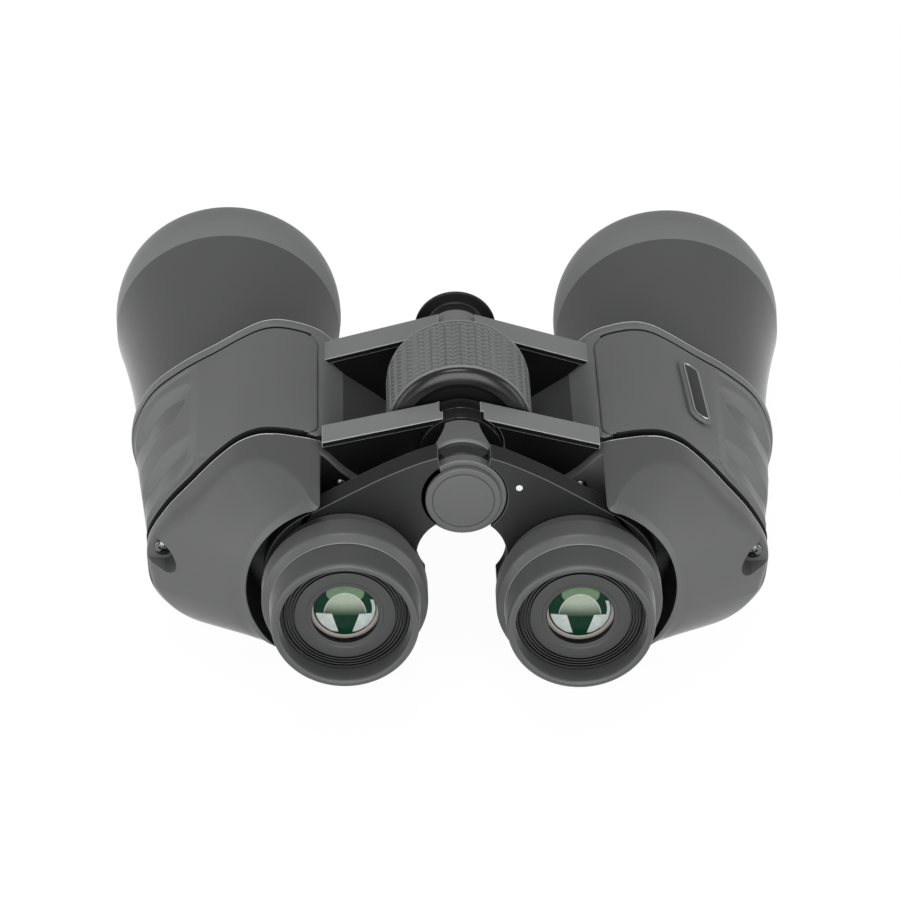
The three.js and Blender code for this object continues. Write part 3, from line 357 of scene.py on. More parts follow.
def revolve(profile: Array, centre: tuple[float, float], sides: int = ROUND_SIDES,
            closed: bool = True, relief: Optional[Callable] = None) -> Shell:
    """Turns a profile round an axis along Y: x = r sin a, z = r cos a at each angle a.

    Args:
        profile: radius and y of each point, closing on itself or running from axis to axis.
        centre: x and z of the axis.
        sides: steps round the circle.
        closed: whether the profile closes on itself.
        relief: gives the change of radius from arrays of angle and y.

    Returns:
        The shell.
    """
    angle = np.linspace(0.0, 2 * np.pi, sides, endpoint=False)[None, :]
    radius, y = (np.asarray(profile, float)[:, k][:, None] for k in (0, 1))
    radius = radius + (relief(angle, y) if relief else 0.0 * angle)
    grid = np.stack([centre[0] + radius * np.sin(angle), y + 0.0 * angle,
                     centre[1] + radius * np.cos(angle)], -1)
    return Shell().grid(grid, wrap_rows=closed, wrap_columns=True)


def rings(outlines: Iterable[Array], levels: Iterable[float]) -> Array:
    """A grid with one row for each outline, standing at its own level of y."""
    return np.stack([np.stack([o[:, 0], np.full(len(o), y), o[:, 1]], 1)
                     for o, y in zip(outlines, levels)])


def capped(rows: Array) -> Shell:
    """A closed shell: rows of points joined into a tube, with flat faces at both ends."""
    return Shell().grid(rows, wrap_columns=True).cap(rows[0]).cap(rows[-1])


def plate(outline: Array, front: float, rear: float, edge: float = 0.4,
          steps: int = EDGE_STEPS) -> Shell:
    """A flat plate across Y: a closed outline drawn along Y, its two rims rounded.

    Each rim is a quarter circle of rings, drawn in by edge (1 - sin a) at edge (1 - cos a)
    from the face.

    Args:
        outline: x and z of the rim.
        front: y of the front face.
        rear: y of the rear face.
        edge: radius of the rounded rims.
        steps: rings in each rim.

    Returns:
        The closed shell.
    """
    angle = quarter(steps + 1)
    drawn_in, depth = edge * (1 - np.sin(angle)), edge * (1 - np.cos(angle))
    pulls = np.r_[drawn_in, drawn_in[::-1]]
    levels = np.r_[rear + depth, front - depth[::-1]]
    return capped(rings([inset(outline, d) for d in pulls], levels))


def prism(outline: Array, front: float, rear: float) -> Shell:
    """A sharp-edged solid: a closed outline drawn along Y."""
    return capped(rings([outline, outline], [rear, front]))


def rod(radius: float, front: float, rear: float, centre: tuple[float, float],
        sides: int = 96) -> Shell:
    """A solid round bar along Y."""
    return prism(np.array(centre) + arc((0, 0), radius, 0, 360, sides)[:-1], front, rear)


def ring_profile(inner: float, outer: float, front: float, rear: float,
                 edge: Union[float, Sequence[float]] = 0.3) -> Array:
    """Closed profile of a plain ring.

    Its four corners, from the inner front round to the inner rear, are rounded by edge.
    """
    return rounded([[inner, front], [outer, front], [outer, rear], [inner, rear]], edge)


def lens(box: "Extent", bulge: float, axis: tuple[float, float], steps: int) -> Shell:
    """A lens of two shallow domes, whose height falls with the square of the radius.

    Args:
        box: the CAD lens's box.
        bulge: height of each dome.
        axis: x and z of its axis.
        steps: points from axis to edge.

    Returns:
        The shell.
    """
    share = np.linspace(0.0, 1.0, steps)
    dome = bulge * (1 - share ** 2)
    front = np.stack([box.radius * share, box.front - bulge + dome], 1)
    back = np.stack([box.radius * share, box.rear + bulge - dome], 1)[::-1]
    return revolve(np.vstack([front, back]), axis, closed=False)


def halves(front: float, rear: float, side: "Side") -> tuple[tuple, tuple]:
    """Splits a knuckle between the two sides.

    Args:
        front: y of its front face.
        rear: y of its rear face.
        side: the side; the right one has the front half.

    Returns:
        Front and rear y of this side's half, and of the other's with room past its end.
    """
    split, seam = (front + rear) / 2, 0.15
    if side is Side.RIGHT:
        return (front, split + seam), (split + seam, rear - 1)
    return (split - seam, rear), (front + 1, split - seam)


def carve(joined: Sequence[Shell], cuts: Sequence[Shell]) -> bpy.types.Mesh:
    """Joins closed shells and cuts others out of them.

    Args:
        joined: shells that are added together.
        cuts: shells that are then taken away.

    Returns:
        The mesh that is left.
    """
    scene = bpy.context.scene.collection.objects
    parts = [bpy.data.objects.new(f"part_{k}", shell.mesh(f"part_{k}"))
             for k, shell in enumerate([*joined, *cuts])]
    for part in parts:
        scene.link(part)
    for k, part in enumerate(parts[1:], start=1):
        step = parts[0].modifiers.new(f"step_{k}", "BOOLEAN")
        step.operation = "UNION" if k < len(joined) else "DIFFERENCE"
        step.solver = "EXACT"
        step.object = part
    bpy.context.view_layer.update()
    settled = parts[0].evaluated_get(bpy.context.evaluated_depsgraph_get())
    mesh = bpy.data.meshes.new_from_object(settled)
    for part in parts:
        old = part.data
        bpy.data.objects.remove(part)
        bpy.data.meshes.remove(old)
    return smoothed(mesh)


# ---- the frame
@dataclass(frozen=True)
class Extent:
    """The box of one CAD node at rest, in millimetres."""

    low: Array
    high: Array

    @classmethod
    def of(cls, node: str) -> "Extent":
        """Reads the box of a node from the frame."""
        low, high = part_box(node)
        return cls(np.array(low) / MM, np.array(high) / MM)

    @property
    def centre(self) -> tuple[float, float]:
        """x and z of the axis through the box."""
        middle = (self.low + self.high) / 2
        return float(middle[0]), float(middle[2])

    @property
    def radius(self) -> float:
        """Half the width across X."""
        return float(self.high[0] - self.low[0]) / 2

    @property
    def front(self) -> float:
        """Foremost y."""
        return float(self.high[1])

    @property
    def rear(self) -> float:
        """Rearmost y."""
        return float(self.low[1])


class Side(Enum):
    """The two halves, with the sign of X that each lies on."""

    LEFT = -1
    RIGHT = 1

    def node(self, name: str) -> str:
        """A node's full name on this side."""
        return f"{self.name.lower()}_{name}"

    @property
    def barrel(self) -> str:
        """The body that this half's housing rides on."""
        return self.node("barrel")

    @property
    def eyepiece(self) -> str:
        """The body that this half's bridge arm rides on."""
        return self.node("eyepiece")


BODIES = frame["record"]["behaviour"]["bodies"]
BODY_OF = {node: body for body, nodes in BODIES.items() for node in nodes}


# ---- shader expressions
def math_method(operation: str, reflected: bool = False) -> Callable[..., "Wire"]:
    """Makes a method of a wire that adds a Math node.

    Args:
        operation: the node's operation.
        reflected: whether the wire is the last value, where it is otherwise the first.

    Returns:
        The method.
    """
    def method(wire: "Wire", *others: Union["Wire", float]) -> "Wire":
        """Adds the node."""
        values = [*others, wire] if reflected else [wire, *others]
        return wire.graph.node("ShaderNodeMath", {"operation": operation},
                               dict(enumerate(values)))

    return method


class Wire:
    """A shader socket that Python's operators work on.

    Each operator adds a Math node; sine, of radians, and square root are methods.
    """

    def __init__(self, graph: "Graph", socket: bpy.types.NodeSocket) -> None:
        """Wraps an output socket of a graph."""
        self.graph = graph
        self.socket = socket

    __add__ = __radd__ = math_method("ADD")
    __mul__ = __rmul__ = math_method("MULTIPLY")
    __sub__, __rsub__ = math_method("SUBTRACT"), math_method("SUBTRACT", reflected=True)
    __truediv__, __rtruediv__ = math_method("DIVIDE"), math_method("DIVIDE", reflected=True)
    __abs__, __pow__ = math_method("ABSOLUTE"), math_method("POWER")
    sine, root = math_method("SINE"), math_method("SQRT")

    def ramp(self, low: float, high: float) -> "Wire":
        """Rises smoothly from 0 at low to 1 at high."""
        return self.graph.node("ShaderNodeMapRange", {"interpolation_type": "SMOOTHSTEP"},
                               {"Value": self, "From Min": low, "From Max": high})


Link = Union[Wire, float, Sequence[float]]


class Graph:
    """The node tree of one material, with a Principled shader at its end, or of one world."""

    def __init__(self, owner: Union[bpy.types.Material, bpy.types.World]) -> None:
        """Empties the owner's tree.

        Args:
            owner: the material or world that has the tree.
        """
        owner.use_nodes = True
        self.owner = owner
        self.tree = owner.node_tree
        self.tree.nodes.clear()

    @classmethod
    def of_material(cls, name: str) -> "Graph":
        """The graph of a new material."""
        return cls(bpy.data.materials.new(name))

    def node(self, kind: str, settings: Optional[dict] = None, inputs: Optional[dict] = None,
             output: Union[int, str] = 0) -> Wire:
        """Adds a node.

        Args:
            kind: the node's type.
            settings: its properties, which are set first.
            inputs: a value or a wire for each named or numbered socket.
            output: the socket to give back.

        Returns:
            The wrapped output socket.
        """
        made = self.tree.nodes.new(kind)
        for name, value in (settings or {}).items():
            setattr(made, name, value)
        for name, value in (inputs or {}).items():
            if isinstance(value, Wire):
                self.tree.links.new(value.socket, made.inputs[name])
            else:
                made.inputs[name].default_value = value
        return Wire(self, made.outputs[output]) if len(made.outputs) else Wire(self, None)

    def place(self, centre: Sequence[float] = (0.0, 0.0, 0.0)) -> Wire:
        """Object coordinates in millimetres, measured from a centre."""
        coordinate = self.node("ShaderNodeTexCoord", output="Object")
        return self.node("ShaderNodeMapping", {"vector_type": "POINT"}, {
            "Vector": coordinate, "Scale": (1 / MM,) * 3, "Location": [-c for c in centre]})

    def split(self, vector: Wire) -> tuple[Wire, Wire, Wire]:
        """The three parts of a vector."""
        parts = self.node("ShaderNodeSeparateXYZ", inputs={"Vector": vector}).socket.node
        return tuple(Wire(self, parts.outputs[k]) for k in range(3))

    def noise(self, place: Wire, size: float, detail: float = 2.0) -> Wire:
        """Noise whose bumps are about size millimetres across."""
        return self.node("ShaderNodeTexNoise", {"noise_dimensions": "3D"}, {
            "Vector": place, "Scale": 1.0 / size, "Detail": detail})

    def blend(self, share: Link, first: Link, second: Link) -> Wire:
        """Mixes two colours."""
        return self.node("ShaderNodeMix", {"data_type": "RGBA"}, {
            0: share, 6: first, 7: second}, output=2)

    def edge(self) -> Wire:
        """0 where the surface faces the eye, rising to 1 at its outline."""
        return self.node("ShaderNodeLayerWeight", inputs={"Blend": 0.5}, output="Facing")

    def bump(self, height: Wire, depth: float) -> Wire:
        """A normal bent by a height, which is worth depth millimetres from 0 to 1."""
        return self.node("ShaderNodeBump", inputs={
            "Height": height, "Distance": depth * MM, "Strength": 1.0})

    def shade(self, **sockets: Link) -> bpy.types.Material:
        """Ends the tree with a Principled shader.

        Args:
            sockets: its inputs, with underscores for spaces.

        Returns:
            The material.
        """
        inputs = {name.replace("_", " "): value for name, value in sockets.items()}
        shader = self.node("ShaderNodeBsdfPrincipled", inputs=inputs)
        self.node("ShaderNodeOutputMaterial", inputs={"Surface": shader})
        return self.owner


def grey(level: float, tint: float = 0.0) -> tuple[float, float, float, float]:
    """A grey with its blue raised by tint."""
    return level, level * (1 + tint / 2), level * (1 + tint), 1.0


# ---- finishes
@dataclass(frozen=True)
class Coating:
    """Paint or rubber: a grained, slightly uneven grey with sheen and a painted outline highlight.
    """

    name: str
    level: float
    roughness: float
    grain: float = 0.30
    relief: float = 0.010
    uneven: float = 0.05
    tint: float = 0.02
    specular: float = 0.5
    metallic: float = 0.0
    # rim: strength of the painted highlight that pales the colour towards the outline
    rim: float = 0.0

    def material(self) -> bpy.types.Material:
        """Builds the material.

        Tone is the level times 1 plus or minus uneven, by broad noise, and pales towards the
        outline with the eighth power of the facing, a painted highlight; roughness follows the
        same noise; the grain bends the normal.

        Returns:
            The material.
        """
        graph = Graph.of_material(self.name)
        place = graph.place()
        cloud = graph.noise(place, 14.0, 3.0)
        speck = graph.noise(place, self.grain, 2.0)
        tone = cloud * 0.6 + speck * 0.4
        colour = graph.blend(tone, grey(self.level * (1 - self.uneven), self.tint),
                             grey(self.level * (1 + self.uneven), self.tint))
        # painted highlight: the colour pales to light grey where the surface turns away from view
        if self.rim:
            colour = graph.blend(graph.edge() ** 8.0 * self.rim, colour, grey(0.7))
        rough = self.roughness - 0.06 + 0.12 * cloud
        return graph.shade(Base_Color=colour, Roughness=rough, Metallic=self.metallic,
                           Specular_IOR_Level=self.specular,
                           Normal=graph.bump(speck, self.relief))


@dataclass(frozen=True)
class Turned:
    """Turned metal: fine rings round one axis along Y, and a tone that follows them."""

    name: str
    colour: tuple[float, float, float]
    roughness: float
    centre: tuple[float, float]
    pitch: float = 0.18

    def material(self) -> bpy.types.Material:
        """Builds the material.

        The rings are a wave of the distance from the axis plus the place along it.

        Returns:
            The material.
        """
        graph = Graph.of_material(self.name)
        place = graph.place((self.centre[0], 0.0, self.centre[1]))
        x, y, z = graph.split(place)
        travel = (x * x + z * z).root() + y
        wave = (travel * (2 * np.pi / self.pitch)).sine() * 0.5 + 0.5
        cloud = graph.noise(place, 4.0)
        dark = [c * 0.8 for c in self.colour]
        colour = graph.blend(wave * 0.5 + cloud * 0.5, (*dark, 1.0), (*self.colour, 1.0))
        return graph.shade(Base_Color=colour, Metallic=1.0,
                           Roughness=self.roughness - 0.05 + 0.1 * cloud,
                           Normal=graph.bump(wave, 0.004))


@dataclass(frozen=True)
class Glass:
    """Clear optical glass with a tinted anti-reflection coating and a few specks of dust."""

    name: str
    colour: tuple[float, float, float]
    coating: tuple[float, float, float]

    def material(self) -> bpy.types.Material:
        """Builds the material.

        Returns:
            The material.
        """
        graph = Graph.of_material(self.name)
        place = graph.place()
        dust = graph.noise(place, 0.5, 4.0).ramp(0.66, 0.80)
        smear = graph.noise(place, 6.0, 2.0)
        return graph.shade(
            Base_Color=graph.blend(dust * 0.25, (*self.colour, 1.0), grey(0.7)),
            Roughness=0.01 + 0.03 * smear + 0.2 * dust, IOR=1.52, Transmission_Weight=1.0,
            Specular_Tint=(*self.coating, 1.0), Specular_IOR_Level=0.9)


@dataclass(frozen=True)
class PaintedLensReflections:
    """Painted reflections on the eye lens: the bands of room light that coated inner faces catch.
    """

    name: str
    centre: tuple[float, float]
    radius: float

    def material(self) -> bpy.types.Material:
        """Builds the material.

        Painted reflections, drawn on x and z from the axis, in shares of the radius: over deep
        green lie a pale ellipse near the top and a half ellipse with a bright outline that fades
        downwards, below them two bright windows with leaning inner sides, a bright sliver on
        the right and a thin bright ring all round the edge.

        Returns:
            The material.
        """
        graph = Graph.of_material(self.name)
        place = graph.place((self.centre[0], 0.0, self.centre[1]))
        x, _, z = graph.split(place)
        u, v = x / self.radius, z / self.radius
        from_axis = (u * u + v * v).root()
        low_v, high_v = v + 0.22, v - 0.56
        reach = (u * u * 2.3 + low_v * low_v * 1.5).root()
        dome = reach.ramp(1.0, 0.97) * v.ramp(-0.24, -0.18)
        crown = (u * u * 2.9 + high_v * high_v * 7.3).root().ramp(1.0, 0.94)
        lean = abs(u - 0.02) - v * 0.3
        window = lean.ramp(0.45, 0.47) * v.ramp(-0.14, -0.18) * v.ramp(-0.86, -0.80) * \
            from_axis.ramp(0.91, 0.88)
        sliver = from_axis.ramp(0.80, 0.83) * from_axis.ramp(0.93, 0.90) * \
            u.ramp(0.60, 0.66) * v.ramp(0.36, 0.30)
        ring = from_axis.ramp(0.94, 0.96)
        streak = graph.noise(place, 1.4, 2.0)
        colour, pale, bright, glow = (
            graph.blend(streak, (*low, 1.0), (*high, 1.0)) for low, high in (
                ((0.002, 0.018, 0.011), (0.006, 0.044, 0.022)),
                ((0.10, 0.17, 0.10), (0.18, 0.26, 0.16)),
                ((0.30, 0.36, 0.28), (0.42, 0.48, 0.38)),
                ((0.34, 0.40, 0.38), (0.62, 0.66, 0.63))))
        # each layer is a painted reflection laid over the deep green
        for share, layer in (
                (crown, pale), (dome * v.ramp(-0.3, 0.4), bright),
                (dome * reach.ramp(0.92, 0.95) * v.ramp(-0.2, 0.0) * 0.6, glow),
                (window, glow), (sliver, glow), (ring, (0.52, 0.46, 0.43, 1.0))):
            colour = graph.blend(share, colour, layer)
        return graph.shade(Base_Color=colour, Roughness=0.12 + 0.1 * streak,
                           Specular_IOR_Level=0.12)


@dataclass(frozen=True)
class Finishes:
    """Every finish of the binoculars, with lit and shaded copies that paint light and shade."""

    armour: Coating = Coating("armour_rubber", 0.144, 0.62, 0.35, 0.012, rim=0.8)
    casting: Coating = Coating("casting_paint", 0.160, 0.52, 0.22, 0.008, rim=1.0)
    barrel: Coating = Coating("barrel_paint", 0.092, 0.52, 0.22, 0.008, rim=1.4)
    hood: Coating = Coating("hood_rubber", 0.206, 0.60, 0.30, 0.010, rim=1.0)
    cover: Coating = Coating("cover_paint", 0.102, 0.50, 0.22, 0.008, rim=1.2)
    # painted highlight: a near-white line on rounded edges that catch the light
    cover_edge: Coating = Coating("cover_edge_paint", 0.90, 0.35, 0.22, 0.004)
    ring: Coating = Coating("ring_rubber", 0.092, 0.46, 0.25, 0.008, rim=0.8)
    eyecup: Coating = Coating("eyecup_rubber", 0.074, 0.52, 0.30, 0.010, rim=0.8)
    bezel: Coating = Coating("bezel_paint", 0.050, 0.50, 0.20, 0.006)
    # painted shade: a darker copy of the casting paint for hollows and the screw pocket
    pit_painted_shade: Coating = Coating("casting_shade", 0.075, 0.50, 0.22, 0.008, specular=0.3)
    # painted shade: the bridge's black paint on faces that do not look up
    bridge: Coating = Coating("bridge_paint", 0.016, 0.36, 0.30, 0.006)
    # painted light: a lighter copy of the bridge's paint on the faces that look up
    bridge_edge: Coating = Coating("bridge_edge_paint", 0.022, 0.50, 0.30, 0.006, specular=0.2)
    # painted light: the arms' and front knuckles' upward faces drawn light grey
    arm: Coating = Coating("arm_paint", 0.225, 0.46, 0.22, 0.008)
    # the arms' black paint, laid as painted shade on faces across Y and looking down
    web: Coating = Coating("web_paint", 0.006, 0.45, 0.22, 0.006, specular=0.2)
    # painted highlight: a pale line on the bevels
    edge: Coating = Coating("edge_highlight", 0.40, 0.30, 0.22, 0.002)
    collar: Coating = Coating("collar_paint", 0.130, 0.30, 0.22, 0.004)
    knurl: Coating = Coating("wheel_rubber", 0.160, 0.46, 0.25, 0.008)
    shell: Coating = Coating("black_plastic", 0.016, 0.28, 0.50, 0.003)
    # black of the optics' inner parts; also painted shade in recesses, seams, scoop and grooves
    inner: Coating = Coating("inner_black", 0.006, 0.60, 0.20, 0.004, specular=0.2)
    cap: Coating = Coating("cap_paint", 0.014, 0.40, 0.22, 0.004, rim=0.5)
    screw: Coating = Coating("blackened_steel", 0.200, 0.22, 0.15, 0.002, metallic=1.0)
    mark: Coating = Coating("index_paint", 0.80, 0.50, 0.20, 0.004)
    wheel: Coating = Coating("wheel_paint", 0.012, 0.24, 0.30, 0.003)
    # painted highlight: pale grey for thin rims that catch the light
    rim: Coating = Coating("rim_paint", 0.26, 0.35, 0.22, 0.003)
    hub: Coating = Coating("hub_paint", 0.105, 0.45, 0.22, 0.006)
    # painted shade: the cover paint a little darker on the roof that looks up
    roof: Coating = Coating("cover_roof_paint", 0.096, 0.50, 0.22, 0.008, rim=1.0)
    # painted highlight: a thin bright line at the rings' rims
    ring_line: Coating = Coating("ring_line_rubber", 0.30, 0.35, 0.25, 0.004)
    # painted light: the cover paint a little paler on the band round the scoop
    cover_rim: Coating = Coating("cover_rim_paint", 0.112, 0.45, 0.22, 0.006)
    # painted light: a set grey on the chamfers and rims that look back
    ring_edge: Coating = Coating("ring_edge_rubber", 0.090, 0.40, 0.25, 0.006)
    # painted shade: darker rubber on faces that look forward, the dents' floors
    dent: Coating = Coating("dent_rubber", 0.118, 0.62, 0.35, 0.012, rim=0.8)
    # painted light: paler rubber on faces that look back, the dents' walls
    wall: Coating = Coating("wall_rubber", 0.150, 0.62, 0.35, 0.012, rim=0.8)
    tube: Coating = Coating("tube_paint", 0.014, 0.40, 0.25, 0.004)
    shelf: Coating = Coating("shelf_paint", 0.030, 0.55, 0.25, 0.004)
    chrome: Coating = Coating("chrome_rim", 0.72, 0.14, 0.20, 0.001, metallic=1.0)
    steel: Turned = Turned("turned_steel", (0.36, 0.36, 0.37), 0.34, (0.0, 64.5))
    brass: Turned = Turned("turned_brass", (0.52, 0.36, 0.12), 0.32, (0.0, 64.5))
    optic: Glass = Glass("optical_glass", (0.86, 0.97, 0.92), (0.35, 1.0, 0.62))
    objective: Glass = Glass("objective_glass", (0.80, 0.96, 0.88), (0.30, 0.95, 0.70))


class Bench:
    """Makes pieces: it turns shells into objects, dresses them and puts them on their bodies."""

    def __init__(self, finishes: Finishes) -> None:
        """Starts with no materials made."""
        self.finishes = finishes
        self.materials: dict[str, bpy.types.Material] = {}

    def finish(self, finish: object) -> bpy.types.Material:
        """The material of a finish, made once."""
        if finish.name not in self.materials:
            self.materials[finish.name] = finish.material()
        return self.materials[finish.name]

    def share_out(self, mesh: bpy.types.Mesh, shaded: Sequence[tuple[object, Callable]]) -> None:
        """Gives further finishes to the faces that their tests pick.

        Args:
            mesh: the mesh, which has its first finish.
            shaded: each finish, with its test.
        """
        count = len(mesh.polygons)
        centres, facing = np.empty((2, 3 * count), np.float32)
        index = np.empty(count, np.int32)
        rows = {"center": centres, "normal": facing, "material_index": index}
        for name, values in rows.items():
            mesh.polygons.foreach_get(name, values)
        for other, test in shaded:
            mesh.materials.append(self.finish(other))
            picked = test(centres.reshape(-1, 3) / MM, facing.reshape(-1, 3))
            index[picked] = len(mesh.materials) - 1
        mesh.polygons.foreach_set("material_index", index)

    def piece(self, name: str, shape: Union[Shell, bpy.types.Mesh], finish: object,
              stands_for: Sequence[str] = (), body: Optional[str] = None,
              bevel: float = 0.0, slot: Optional[str] = None,
              shaded: Sequence[tuple[object, Callable]] = (),
              edges: Optional[object] = None) -> bpy.types.Object:
        """Adds one finished piece.

        Args:
            name: the piece's name.
            shape: its faces.
            finish: its finish.
            stands_for: the CAD nodes that it replaces; the first gives its body.
            body: the body, where it replaces no node.
            bevel: width of the rounded edges that a modifier adds.
            slot: not used; callers give a material slot's name, where the piece replaces no node.
            shaded: further finishes, each with the test that picks its faces from arrays of
                their centres in millimetres and their normals.
            edges: finish of the rounded edges, where it differs.

        Returns:
            The object.
        """
        mesh = shape.mesh(name) if isinstance(shape, Shell) else shape
        mesh.name = name
        made = bpy.data.objects.new(name, mesh)
        bpy.context.scene.collection.objects.link(made)
        made.data.materials.clear()
        made.data.materials.append(self.finish(finish))
        self.share_out(mesh, shaded)
        if bevel:
            rim = made.modifiers.new("rim", "BEVEL")
            rim.width = bevel * MM
            rim.segments = 3
            rim.limit_method = "ANGLE"
            rim.angle_limit = np.radians(SHARP_ANGLE)
            rim.harden_normals = True
            rim.use_clamp_overlap = False
            if edges:
                made.data.materials.append(self.finish(edges))
                rim.material = len(made.data.materials) - 1
        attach(made, body or BODY_OF[stands_for[0]])
        if stands_for:
            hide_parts(*stands_for)
        log.info("%s: %d faces on %s", name, len(made.data.polygons),
                 body or BODY_OF[stands_for[0]])
        return made

    def stand_in(self, node: str, shape: Union[Shell, bpy.types.Mesh], finish: object,
                 **options: object) -> None:
        """Adds the fine piece that replaces one CAD node."""
        self.piece(f"{node}_fine", shape, finish, [node], **options)

    def dress(self, node: str, finish: object) -> None:
        """Gives a CAD node that stays in view a finish of its own.

        Args:
            node: the CAD node.
            finish: its finish.
        """
        kept = frame["nodes"][node]
        kept.data.materials.clear()
        kept.data.materials.append(self.finish(finish))
        log.info("%s: kept, finished as %s", node, finish.name)


@dataclass
class Assembly:
    """A group of pieces, with the bench that makes them."""

    bench: Bench

    @property
    def finishes(self) -> Finishes:
        """Every finish."""
        return self.bench.finishes


# ---- shared outlines
GAP = 0.3


@dataclass(frozen=True)
class Axes:
    """The axes along Y, as x and z on the right half."""

    objective: tuple[float, float]
    eye: tuple[float, float]
    hinge: tuple[float, float]

    @classmethod
    def of_frame(cls) -> "Axes":
        """Reads the axes from the boxes of round nodes."""
        return cls(Extent.of("right_objective_hood").centre, Extent.of("right_eyecup").centre,
                   Extent.of("focus_wheel").centre)


AXES = Axes.of_frame()
EYE_X = AXES.eye[0] - AXES.objective[0]
EYE_Z = AXES.eye[1] - AXES.objective[1]


class Section:
    """Outlines of the prism housing in its own plane, measured from the objective axis."""

    wall_x = -25.4
    body_radius = 25.0
    joint_radius = 19.8
    lobe = [[-25.4, 33.2], [-31.7, 27.1], [-42.9, 18.6], [-48.1, 12.6], [-47.1, 5.0],
            [-39.7, -6.0], [-33.2, -12.0]]
    crest = [[19.3, -1.0], [19.1, 4.0], [14.5, 12.5], [8.0, 20.5], [1.0, 28.5],
             [-4.5, 33.3], [-9.5, 35.4], [-14.0, 35.6], [-19.0, 34.9]]
    front_crest = [[25.0, -1.3], [24.2, 6.0], [19.5, 15.8], [11.5, 23.0], [2.0, 29.0],
                   [-4.5, 33.2], [-9.5, 35.8], [-13.5, 36.6], [-19.0, 35.8]]

    @classmethod
    def front(cls) -> Array:
        """Outline at the front of the housing."""
        return smooth([*cls.front_crest, *cls.lobe, *arc((0, 0), cls.body_radius, -140, -30, 4)])

    @classmethod
    def joint(cls) -> Array:
        """Outline where the rear cover meets the housing."""
        return smooth([*cls.crest, *cls.lobe, *arc((0, 0), cls.joint_radius, -132, -24, 4)])


def from_objective(outline: Array) -> Array:
    """An outline measured from the objective axis, put in its place on the right half."""
    return outline + np.array(AXES.objective)


